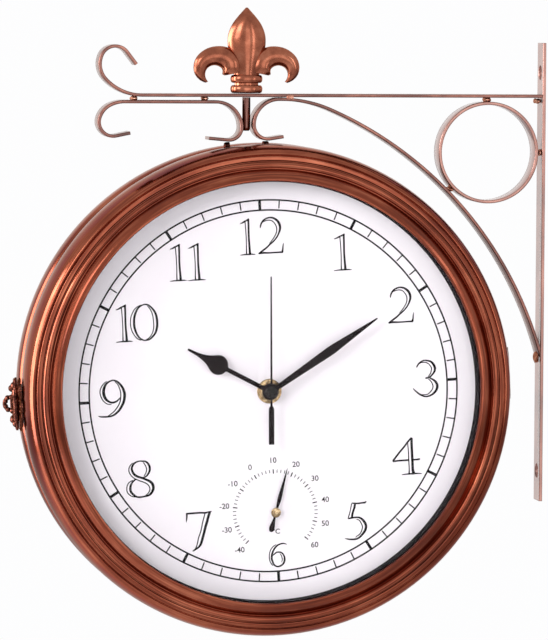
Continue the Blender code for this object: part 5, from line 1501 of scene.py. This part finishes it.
@dataclass(frozen=True)
class CaseHinge:
    """The dark hinge at 3 o'clock: two leaves with curled knuckles, screws and a pin."""

    place: float = 151.0
    height: float = 31.5
    knuckles: int = 5
    radius: float = 2.5
    low: float = -1.1
    high: float = 0.0
    screw_place: float = 9.0
    screw_pitch: float = 9.5
    edge: tuple[Point, ...] = ((11.0, 1.0), (12.4, 0.95), (13.3, 0.83), (14.0, 0.62))
    rod_end: tuple[Point, ...] = ((1.0, 0.0), (1.7, 0.0), (1.65, 0.4), (1.2, 1.0), (0.0, 1.2))

    def leaf(self, side: int, first: int) -> Shape:
        """Return one leaf with every second knuckle.

        Args:
            side: 1 for the leaf that lies to the rear, -1 for the front one.
            first: The number of its lowest knuckle.
        Returns:
            The leaf's shape.
        """
        half = self.height / 2
        near = self.radius + 2 * FIT
        upper = [(near, half)] + [(x, half * share) for x, share in self.edge]
        outline = [(side * x, y) for x, y in upper] + [(side * x, -y) for x, y in reversed(upper)]
        if side > 0:
            outline.reverse()
        shape = Shape().slab(outline, self.low, self.high, 0.25)
        pitch = self.height / self.knuckles
        for index in range(first, self.knuckles, 2):
            start = index * pitch - half + FIT / 2
            end = start + pitch - FIT
            far = side * (near + 0.2)
            tab = [(0.0, start), (far, start), (far, end), (0.0, end)]
            if side < 0:
                tab.reverse()
            shape.slab(tab, self.low, self.high)
            shape.upright(sleeve(1.3, self.radius, start, end, 0.3), 36)
        for row in (-1, 0, 1):
            shape.dome((side * self.screw_place, row * self.screw_pitch, self.high), 1.6, 0.5)
        return shape

    def build(self) -> None:
        """Add the leaves and the pin."""
        frame = CASE.inside((self.place, 0.0, 0.0), (math.pi / 2, 0.0, math.pi / 2))
        self.leaf(1, 0).place("hinge_rear_leaf", frame, DARK_IRON, "bracket", ["hinge_leaf_rear"])
        self.leaf(-1, 1).place("hinge_front_leaf", frame, DARK_IRON, "front_half", ["hinge_leaf_front"])
        end = self.height / 2 + FIT
        side = [(1.0, 0.0)] + [(radius, end + height) for radius, height in self.rod_end]
        pin = Shape().upright(both_ways(side), 28)
        pin.place("hinge_rod", frame, DARK_IRON, "bracket", ["hinge_pin"])


@dataclass(frozen=True)
class Latch:
    """The dark cast latch at 9 o'clock: plate, slotted hasp, pin, keeper and staple."""

    place: float = -149.6
    half: float = 15.75
    near: float = 6.2
    reach: float = 20.0
    low: float = 0.3
    high: float = 1.5
    axis: Point = (6.5, 3.0)
    knuckle: float = 1.9
    knuckle_half: float = 5.0
    knuckle_end: float = 9.5
    thickness: float = 1.4
    hasp_span: Point = (-2.6, -21.0)
    slot: tuple[float, float, float] = (-17.3, -12.8, 6.5)
    staple: float = -8.0
    rod: tuple[Point, ...] = ((0.8, 0.0), (0.8, 9.8), (1.2, 9.8), (1.1, 10.5), (0.6, 10.9), (0.0, 11.0))
    berries: tuple[tuple[float, float, float], ...] = (
        (0.28, 0.58, 1.1), (0.72, 0.66, 0.9), (0.10, 0.90, 0.8), (0.55, 0.20, 0.8),
    )
    buds: tuple[tuple[float, float, float, float], ...] = (
        (-5.2, 11.6, 2.3, 2.2), (-9.6, 9.6, 2.5, 3.2), (-15.0, 9.0, 2.0, 2.4), (-9.8, 4.2, 2.1, 3.0),
        (-4.6, 6.0, 1.9, 2.2),
    )
    vine: tuple[Point, ...] = (
        (0.12, 0.80), (0.30, 0.84), (0.46, 0.66), (0.42, 0.42), (0.24, 0.36), (0.16, 0.52), (0.28, 0.60),
    )
    stem: tuple[Point, ...] = ((0.42, 0.42), (0.62, 0.46), (0.78, 0.62), (0.70, 0.68))
    beads: tuple[Point, ...] = ((4.1, 3.0), (3.6, 6.4), (1.5, 7.8))
    plate: tuple[Point, ...] = (
        (0.0, 0.90), (0.06, 0.98), (0.14, 1.0), (0.24, 0.97), (0.34, 0.95), (0.44, 0.83), (0.50, 0.72),
        (0.56, 0.68), (0.64, 0.73), (0.72, 0.79), (0.80, 0.76), (0.86, 0.64), (0.90, 0.46), (0.87, 0.36),
        (0.85, 0.29), (0.90, 0.24), (0.97, 0.20), (1.0, 0.06),
    )
    leaf: tuple[Point, ...] = (
        (0.0, 0.88), (0.05, 0.97), (0.12, 1.0), (0.22, 0.98), (0.32, 0.94), (0.40, 0.83), (0.47, 0.76),
        (0.55, 0.74), (0.62, 0.78), (0.69, 0.79), (0.76, 0.73), (0.82, 0.62), (0.88, 0.42), (0.94, 0.33),
        (1.0, 0.28),
    )

    def outline(self, near: float, far: float, shares: Sequence[Point]) -> list[Point]:
        """Return a lobed outline.

        Args:
            near: Where it starts.
            far: Where it ends.
            shares: The outline's upper side, in shares of its length and half height.
        Returns:
            The outline's corners, anticlockwise.
        """
        upper = [(near + (far - near) * along, self.half * share) for along, share in eased(shares, 3)]
        whole = upper + [(x, -y) for x, y in reversed(upper)]
        return whole if far < near else whole[::-1]

    def relief(self, shape: Shape, near: float, far: float, height: float) -> None:
        """Add the cast relief of a plate: a scrolled vine with buds.

        Args:
            shape: The shape that it goes into.
            near: Where the plate starts.
            far: Where it ends.
            height: How high the plate's top lies.
        """
        span = far - near
        for side in (-1, 1):
            for shares, radius in ((self.vine, 0.55), (self.stem, 0.45)):
                path = [(near + span * x, side * self.half * y, height) for x, y in shares]
                shape.cord(eased(path, 5), radius, AXIS_Z, sides=8)
            for x, y, radius in self.berries:
                shape.dome((near + span * x, side * self.half * y, height), radius, 0.8)
        shape.dome((near + span * 0.84, 0.0, height), 1.2, 0.8)

    def hasp(self) -> Shape:
        """Return the slotted hasp about its axis, with its knuckle and its curled lip."""
        low = 0.6 + self.high - self.low - self.axis[1]
        high = low + self.thickness
        outer = self.outline(*self.hasp_span, self.leaf)
        first, last, tall = self.slot
        middle = ((first + last) / 2, 0.0)
        inner = rounded_box((last - first) / 2, tall, 1.6, middle)
        rings = []
        for angle in turns(120):
            rim = Vector(cast(outer, middle, angle))
            hole = Vector(cast(inner, middle, angle))
            inward = (hole - rim).normalized() * 0.3
            rings.append([
                Vector((*rim, low)), Vector((*rim, high - 0.3)), Vector((*(rim + inward), high)),
                Vector((*(hole - inward), high)), Vector((*hole, high - 0.3)), Vector((*hole, low)),
            ])
        shape = Shape().skin(rings, closed=True)
        half = self.knuckle_half
        shape.slab([(-3.2, -half), (-0.4, -half), (-0.4, half), (-3.2, half)], low, high)
        shape.upright(sleeve(0.9, self.knuckle, -half, half, 0.2), 32)
        shape.upright(sleeve(0.0, 1.3, -4.5, 4.5, 0.3), 28, (-20.35, low + 1.3))
        self.relief(shape, -3.4, -13.5, high - 0.25)
        for x, y, radius, rise in self.buds:
            for side in (-1, 1):
                shape.dome((x, side * y, high - 0.2), radius, rise)
        return shape

    def keeper(self) -> Shape:
        """Return the keeper's plate with its staple and the beads on it."""
        shape = Shape().slab(self.outline(-self.near, -self.reach, self.plate), self.low, self.high, 0.3)
        self.relief(shape, -self.near - 5.0, -self.reach, self.high - 0.2)
        x = self.staple
        arch = [(x, y, z) for y, z in arc((0.0, 4.5), (4.0, 3.9), 0.0, math.pi, 24)]
        shape.cord([(x, 4.0, 1.0), *arch, (x, -4.0, 1.0)], 1.2, AXIS_X, sides=16)
        for y, z in self.beads:
            for middle in ((x, y, z), (x, -y, z)):
                shape.dome(middle, 1.6, 1.6).dome(middle, 1.6, -1.6)
        return shape

    def build(self) -> None:
        """Add the latch's pieces."""
        frame = CASE.inside((self.place, 0.0, 0.0), (math.pi / 2, 0.0, -math.pi / 2))
        along, lift = self.axis
        axis = frame.inside((along, 0.0, lift))
        plate = Shape().slab(self.outline(self.near, self.reach, self.plate), self.low, self.high, 0.3)
        self.relief(plate, self.near + 2.0, self.reach, self.high - 0.2)
        near = self.knuckle_half + FIT
        for start, end in ((near, self.knuckle_end), (-self.knuckle_end, -near)):
            plate.upright(sleeve(1.1, self.knuckle, start, end, 0.2), 32, self.axis)
        plate.place("latch_front_plate", frame, DARK_IRON, "front_half", ["latch_plate"])
        self.hasp().place("latch_slotted_hasp", axis, DARK_IRON, "latch_hasp", ["latch_hasp"])
        pin = Shape().upright(both_ways(self.rod), 24)
        pin.place("latch_rod", axis, DARK_IRON, "front_half", ["latch_pin"])
        self.keeper().place("latch_keeper_plate", frame, DARK_IRON, "bracket", ["latch_keeper"])


# Bracket


@dataclass(frozen=True)
class Station:
    """A place along a bar's middle line, with the bar's direction there."""

    x: float
    z: float
    heading: float

    def along(self) -> Vector:
        """Return the unit direction of the bar."""
        return Vector((math.cos(self.heading), 0.0, math.sin(self.heading)))

    def across(self) -> Vector:
        """Return the unit direction through the bar's thickness."""
        return Vector((-math.sin(self.heading), 0.0, math.cos(self.heading)))


@dataclass(frozen=True)
class Move:
    """A straight length of bar, or a bend where the radius isn't zero."""

    radius: float
    amount: float


def follow(heading: float, moves: Sequence[Move], step: float = math.radians(3.0)) -> list[Station]:
    """Follow straight lengths and bends from the origin.

    Args:
        heading: The first direction, in radians from +X to +Z.
        moves: The lengths and bends.
        step: The largest turn between two stations.
    Returns:
        The stations along the path.
    """
    x = 0.0
    z = 0.0
    stations = [Station(x, z, heading)]
    for move in moves:
        if move.radius == 0.0:
            x += move.amount * math.cos(heading)
            z += move.amount * math.sin(heading)
            stations.append(Station(x, z, heading))
            continue
        side = math.copysign(1.0, move.amount)
        centre_x = x - side * move.radius * math.sin(heading)
        centre_z = z + side * move.radius * math.cos(heading)
        steps = max(2, math.ceil(abs(move.amount) / step))
        first = heading
        for index in range(1, steps + 1):
            heading = first + move.amount * index / steps
            x = centre_x + side * move.radius * math.sin(heading)
            z = centre_z - side * move.radius * math.cos(heading)
            stations.append(Station(x, z, heading))
    return stations


@dataclass(frozen=True)
class Bracket:
    """The strap bracket: wall strap, top bar, two scrolls, ring, post and finial."""

    width: float = 16.0
    thickness: float = 2.0
    corner: float = 0.5
    bar_height: float = 108.2
    overhang: float = 64.6
    scroll_start: float = 75.6
    scroll_drop: float = 4.0
    spread: float = 3.8
    shoulder: float = 15.5
    left_foot: tuple[float, float, float] = (7.6, math.radians(95.0), 12.0)
    right_foot: tuple[float, float, float] = (8.6, math.radians(99.0), 8.2)
    # The crown, the slope and the scrolls' bends come from a fit to places in the photograph
    crown: Point = (76.3, math.radians(23.35))
    crown_drop: float = 2.3
    slope: float = math.radians(72.8)
    upper: tuple[Point, ...] = ((30.7, 46.25), (13.416, 68.6), (8.934, 117.75))
    lower: tuple[Point, ...] = ((19.0, 26.4), (12.692, 48.7), (8.569, 116.5))
    post_foot: tuple[Point, ...] = ((1.7, 0.0), (2.3, 0.9), (2.5, 2.2))
    body: str = "bracket"

    def section(self) -> list[Point]:
        """Return the bar's section as (through the thickness, along Y) points."""
        return rounded_box(self.thickness / 2, self.width / 2, self.corner, steps=3)

    def bar(self, stations: Sequence[Station], end_plane: float | None = None) -> Shape:
        """Return the bar that follows the stations.

        Args:
            stations: The stations, in the bar's own frame.
            end_plane: Where given, the plane of X that the last end is cut to.
        Returns:
            The bar's shape.
        """
        rings = []
        for station in stations:
            middle = Vector((station.x, 0.0, station.z))
            across = station.across()
            rings.append([middle + across * through + AXIS_Y * wide for through, wide in self.section()])
        if end_plane is not None:
            along = stations[-1].along()
            rings[-1] = [point + along * ((end_plane - point.x) / along.x) for point in rings[-1]]
        return Shape().skin(rings)

    def scroll(self, bends: Sequence[Point], tail: float, side: float) -> list[Move]:
        """Return the moves of a scroll that tightens toward its tail."""
        return [Move(radius, side * math.radians(turn)) for radius, turn in bends] + [Move(0.0, tail)]

    def wall_strap(self) -> None:
        """Add the strap that is screwed to the wall, with softened edges."""
        shape = Shape().take_node("wall_strap")
        soften(shape.place("wall_strap_bar", ROW, BRACKET_COPPER, self.body, ["wall_strap"]), 0.35)

    def top_bar(self) -> None:
        """Add the top bar with its upper scroll."""
        start = -(self.thickness + FIT)
        moves = [Move(0.0, start - POST_X + self.overhang)] + self.scroll(self.upper, 9.3, -1)
        frame = ROW.inside((start, 0.0, self.bar_height))
        # Painted shade: this bar takes the darker, shaded copy of the bracket copper
        self.bar(follow(math.pi, moves)).place("top_bar_strap", frame, SHADED_COPPER, self.body, ["top_bar"])

    def lower_scroll(self) -> None:
        """Add the bar with the left foot and the lower scroll."""
        radius, turn, tail = self.left_foot
        moves = [Move(0.0, tail), Move(radius, turn), Move(self.shoulder, math.pi / 2)]
        moves.append(Move(0.0, self.scroll_start - self.spread - self.shoulder))
        stations = follow(math.pi / 2 - turn, moves + self.scroll(self.lower, 8.8, 1))
        x = POST_X - self.spread - max(station.x for station in stations)
        z = self.bar_height - self.scroll_drop - max(station.z for station in stations)
        frame = ROW.inside((x, 0.0, z))
        # Painted shade: this bar takes the darker, shaded copy of the bracket copper
        self.bar(stations).place("lower_scroll_strap", frame, SHADED_COPPER, self.body, ["lower_scroll"])

    def brace(self) -> None:
        """Add the brace from its foot over its crown down to the wall strap."""
        radius, turn, tail = self.right_foot
        heading = math.pi / 2 + turn
        crown_radius, crown_turn = self.crown
        moves = [Move(0.0, tail), Move(radius, -turn), Move(self.shoulder, -math.pi / 2), Move(0.0, 1.5)]
        moves.append(Move(crown_radius, -crown_turn))
        crown = follow(heading, moves)
        x = POST_X + self.spread - min(station.x for station in crown)
        z = self.bar_height - self.crown_drop - max(station.z for station in crown)
        wall_side = -(self.thickness + FIT + self.thickness / 2)
        reach = (wall_side - x - crown[-1].x) / (math.sin(self.slope) - math.sin(crown_turn))
        moves.append(Move(reach, crown_turn - self.slope))
        bar = self.bar(follow(heading, moves, math.radians(1.5)), -(self.thickness + FIT) - x)
        # Painted shade: this bar takes the darker, shaded copy of the bracket copper
        bar.place("brace_strap", ROW.inside((x, 0.0, z)), SHADED_COPPER, self.body, ["brace_scroll"])

    def ring(self) -> None:
        """Add the round strap ring, where the CAD ring stands."""
        low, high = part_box("bracket_ring")
        middle = (low + high) / 2 / MILLIMETRE
        radius = (high.z - low.z) / 2 / MILLIMETRE - self.thickness / 2
        shape = Shape().upright([(radius + through, wide) for through, wide in self.section()], 144)
        shape.place("ring_strap", ROW.inside(middle), BRACKET_COPPER, self.body, ["bracket_ring"])

    def post(self) -> None:
        """Add the short round post with its tapered foot."""
        low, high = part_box("hanger_post")
        middle = (low + high) / 2 / MILLIMETRE
        half = (high.z - low.z) / 2 / MILLIMETRE
        foot = [(radius, height - half) for radius, height in self.post_foot]
        rod = Shape().lathe([(0.0, -half), *foot, (foot[-1][0], half), (0.0, half)], 40)
        # Painted shade: the post takes the darker, shaded copy of the bracket copper
        rod.place("post_rod", ROW.inside(middle), SHADED_COPPER, self.body, ["hanger_post"])

    def build(self) -> None:
        """Add all bars of the bracket."""
        for add in (self.wall_strap, self.top_bar, self.lower_scroll, self.brace, self.ring, self.post):
            add()


@dataclass(frozen=True)
class Finial:
    """The cast fleur-de-lis on the top bar."""

    height: float = 51.9
    half_width: float = 11.75
    half_depth: float = 6.2
    ridge: Point = (1.7, 0.72)
    curl: tuple[float, float, float] = (16.6, 10.0, 13.5)
    curl_half: float = 7.3
    curl_depth: float = 0.74
    collars: Point = (2.4, 8.6)
    collar_half: Point = (9.85, 6.6)
    petal: tuple[Point, ...] = (
        (0.012, 0.66), (0.12, 0.62), (0.237, 0.69), (0.36, 0.83), (0.49, 0.95), (0.605, 1.0),
        (0.70, 0.95), (0.80, 0.77), (0.88, 0.52), (0.95, 0.25), (1.0, 0.05),
    )
    horn: tuple[tuple[float, float, float], ...] = (
        (12.0, 0.66, 0.80), (40.0, 0.704, 1.0), (70.0, 0.852, 0.93), (96.0, 0.919, 0.84),
        (120.0, 0.978, 0.75), (147.0, 1.0, 0.63), (175.0, 0.889, 0.44), (204.0, 0.63, 0.12),
    )

    def petal_rings(self) -> list[list[Vector]]:
        """Return the middle petal's sections, ovals with a soft ridge front and back."""
        rings = []
        fall, power = self.ridge
        for place, wide in eased(self.petal, 4):
            ring = []
            for index, angle in enumerate(turns(40)):
                across = math.cos(angle)
                depth = math.copysign((1 - abs(across) ** fall) ** power, math.sin(angle))
                if index in (0, 20):
                    depth = 0.0
                ring.append(Vector((
                    self.half_width * wide * across,
                    self.half_depth * math.sqrt(max(wide, 0.01)) * depth, self.height * place,
                )))
            rings.append(ring)
        return rings

    def horn_rings(self, side: int) -> list[list[Vector]]:
        """Return one side petal's sections, which arch over and curl in."""
        rings = []
        across, height, radius = self.curl
        for turn, reach, wide in eased(self.horn, 4):
            angle = math.radians(turn)
            out = Vector((-side * math.cos(angle), 0.0, math.sin(angle)))
            middle = Vector((side * across, 0.0, height)) + out * (radius * reach)
            half = self.curl_half * wide
            ring = []
            for around in turns(28):
                point = middle + out * (half * math.cos(around))
                point.y = half * self.curl_depth * math.sin(around)
                ring.append(point)
            rings.append(ring)
        return rings

    def collar(self, shape: Shape, middle: float) -> None:
        """Add one of the round bands that tie the petals."""
        wide, deep = self.collar_half
        rings = []
        for swell, height in arc((0.86, middle), (0.14, 2.4), -math.pi / 2, math.pi / 2, 10):
            rings.append([
                Vector((wide * swell * math.cos(angle), deep * swell * math.sin(angle), height))
                for angle in turns(48)
            ])
        shape.skin(rings)

    def build(self) -> None:
        """Add the finial."""
        shape = Shape().skin(self.petal_rings())
        for side in (-1, 1):
            shape.skin(self.horn_rings(side))
        for middle in self.collars:
            self.collar(shape, middle)
        frame = ROW.inside((POST_X, 0.0, BAR_TOP + FIT))
        shape.place("fleur_de_lis", frame, CAST_COPPER, "bracket", ["finial"], 60.0)


@dataclass(frozen=True)
class Welds:
    """The lumpy weld beads, shaped where the CAD beads lie."""

    nodes: tuple[str, ...] = (
        "weld_scroll_left", "weld_scroll_right", "weld_ring_top", "weld_ring_side", "weld_ring_brace",
        "weld_foot_left", "weld_foot_right", "weld_bar_end", "weld_brace_end", "weld_crown",
    )
    body: str = "bracket"
    reach: float = 8.5
    swell: float = 0.8

    def lump(self, half: Vector, seed: float) -> Shape:
        """Return an uneven lump about its own middle.

        Args:
            half: Its half sizes along X, Y and Z.
            seed: A number that makes each lump differ.
        Returns:
            The lump's shape.
        """
        ball = arc((0.0, 0.0), (1.0, 1.0), -math.pi / 2, math.pi / 2, 16)
        shape = Shape().lathe([(max(0.0, radius), height) for radius, height in ball], 28)
        bmesh.ops.remove_doubles(shape.bm, verts=shape.bm.verts, dist=0.001)

        def shift(point: Vector) -> Vector:
            """Return the way from a point of the ball to its place on the lump."""
            along = point.z
            around = math.atan2(point.y, point.x)
            ripple = 0.10 * math.sin(7.0 * along + seed)
            ripple += 0.07 * math.sin(3 * around + 5 * along + seed * 2)
            fat = max(abs(point.x), abs(point.y), 1e-6)
            grow = (0.88 + ripple) * min(1.0 / fat, 1.22) * 0.92
            return Vector((point.x * grow * half.x, point.y * grow * half.z, along * half.y)) - point

        return shape.push(shift)

    def build(self) -> None:
        """Add a lump for each CAD bead."""
        for index, node in enumerate(self.nodes):
            low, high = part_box(node)
            middle = (low + high) / 2 / MILLIMETRE
            half = (high - low) / 2 / MILLIMETRE
            if "scroll" in node or "ring" in node:
                half.y = max(half.y, self.reach)
                half[0 if half.x < half.z else 2] += self.swell
            frame = ROW.inside(middle, (math.pi / 2, 0.0, 0.0))
            finish = DARK_IRON if "foot" in node else WELD
            self.lump(half, 1.7 * index).place(node + "_lump", frame, finish, self.body, [node], 80.0)


# Studio


@dataclass(frozen=True)
class PhotoCamera:
    """The camera at the photograph's place, fitted to the dial and the bracket."""

    place: tuple[float, float, float] = (-660.25, -3004.5, 165.15)
    yaw: float = math.radians(9.33)
    pitch: float = math.radians(3.645)
    roll: float = math.radians(0.35)
    focal: float = 5000.0
    width: int = 548
    sensor: float = 36.0
    reach: float = 60.0

    def build(self) -> None:
        """Add the camera and make it the scene's own."""
        data = bpy.data.cameras.new("photo_camera")
        data.sensor_fit = "HORIZONTAL"
        data.sensor_width = self.sensor
        data.lens = self.focal * self.sensor / self.width
        data.clip_end = self.reach
        camera = add_object("photo_camera", data)
        level = Matrix(((1.0, 0.0, 0.0), (0.0, 0.0, -1.0), (0.0, 1.0, 0.0)))
        yaw = Matrix.Rotation(self.yaw, 3, "Z")
        pitch = Matrix.Rotation(self.pitch, 3, "X")
        roll = Matrix.Rotation(self.roll, 3, "Z")
        right, down, forward = roll @ pitch @ level @ yaw
        columns = Matrix((right, -down, -forward)).transposed()
        camera.matrix_world = Matrix.Translation(Vector(self.place) * MILLIMETRE) @ columns.to_4x4()
        bpy.context.scene.camera = camera


@dataclass(frozen=True)
class Lamp:
    """A soft box that shines at the clock."""

    name: str
    place: tuple[float, float, float]
    size: Point
    power: float
    target: tuple[float, float, float] = (-0.17, 0.0, -0.03)

    def build(self) -> None:
        """Add the lamp, turned to its target."""
        data = bpy.data.lights.new(self.name, "AREA")
        data.shape = "RECTANGLE"
        data.size, data.size_y = self.size
        data.energy = self.power
        lamp = add_object(self.name, data)
        lamp.location = self.place
        aim = Vector(self.target) - Vector(self.place)
        lamp.rotation_euler = aim.to_track_quat("-Z", "Y").to_euler()


@dataclass(frozen=True)
class Studio:
    """The floor, the white surroundings and the lamps."""

    floor_drop: float = 1.0
    floor_radius: float = 6.0
    white: Colour = (0.985, 0.985, 0.99)
    glow: Colour = (0.40, 0.38, 0.395)
    lamps: tuple[Lamp, ...] = (
        Lamp("key_lamp", (-2.3, -2.2, 0.95), (1.0, 1.3), 24.0),
        Lamp("side_lamp", (-2.6, 0.1, 0.2), (2.0, 2.2), 140.0),
        Lamp("front_lamp", (0.2, -3.4, 0.1), (1.9, 1.9), 14.0),
        Lamp("fill_lamp", (1.9, -2.4, 0.3), (0.4, 1.6), 7.0),
    )

    def surroundings(self) -> None:
        """Make the world white to look at and dimmer for the light that it gives."""
        world = bpy.data.worlds.new("studio_world")
        bpy.context.scene.world = world
        graph = Graph(world)
        backdrop = graph.tree.nodes["Background"]
        graph.feed(backdrop.inputs["Color"], (*self.white, 1.0))
        glow = graph.node("ShaderNodeBackground", {"Color": (*self.glow, 1.0)})
        path = graph.node("ShaderNodeLightPath").outputs
        seen = graph.maths("MAXIMUM", path["Is Camera Ray"], path["Is Glossy Ray"])
        seen = graph.maths("MAXIMUM", seen, path["Is Transmission Ray"])
        direct = graph.maths("LESS_THAN", path["Diffuse Depth"], 0.5)
        share = graph.maths("MULTIPLY", seen, direct)
        mix = graph.node("ShaderNodeMixShader", {0: share, 1: glow.outputs[0], 2: backdrop.outputs[0]})
        graph.feed(graph.tree.nodes["World Output"].inputs["Surface"], mix.outputs[0])

    def floor(self) -> None:
        """Add the pale floor, a wide shallow disc."""
        mesh = bpy.data.meshes.new("floor")
        bm = bmesh.new()
        bmesh.ops.create_circle(bm, cap_ends=True, segments=96, radius=self.floor_radius)
        bm.to_mesh(mesh)
        bm.free()
        mesh.materials.append(FLOOR_PAINT.material())
        floor = add_object("floor", mesh)
        floor.location = (0.0, 0.0, -self.floor_drop)

    def build(self) -> None:
        """Add the floor, the world and the lamps."""
        self.surroundings()
        self.floor()
        for lamp in self.lamps:
            lamp.build()
        bpy.context.scene.view_settings.view_transform = "Standard"


def main() -> None:
    """Build the studio and every assembly of the clock."""
    logging.basicConfig(level=logging.INFO, format="%(name)s: %(message)s")
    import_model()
    PhotoCamera().build()
    Studio().build()
    for side in Side:
        for part in (CaseHalf, Dial, HubFixing, Hands, Movement):
            part(side).build()
    for part in (
        ThermometerPrint, ThermometerNeedle, ThermometerWorks, CaseHinge, Latch, Bracket, Finial, Welds,
    ):
        part().build()
    for piece in bpy.context.scene.objects:
        if piece.type == "MESH":
            log.info("%s has %d faces", piece.name, len(piece.data.polygons))


if __name__ == "__main__":
    main()
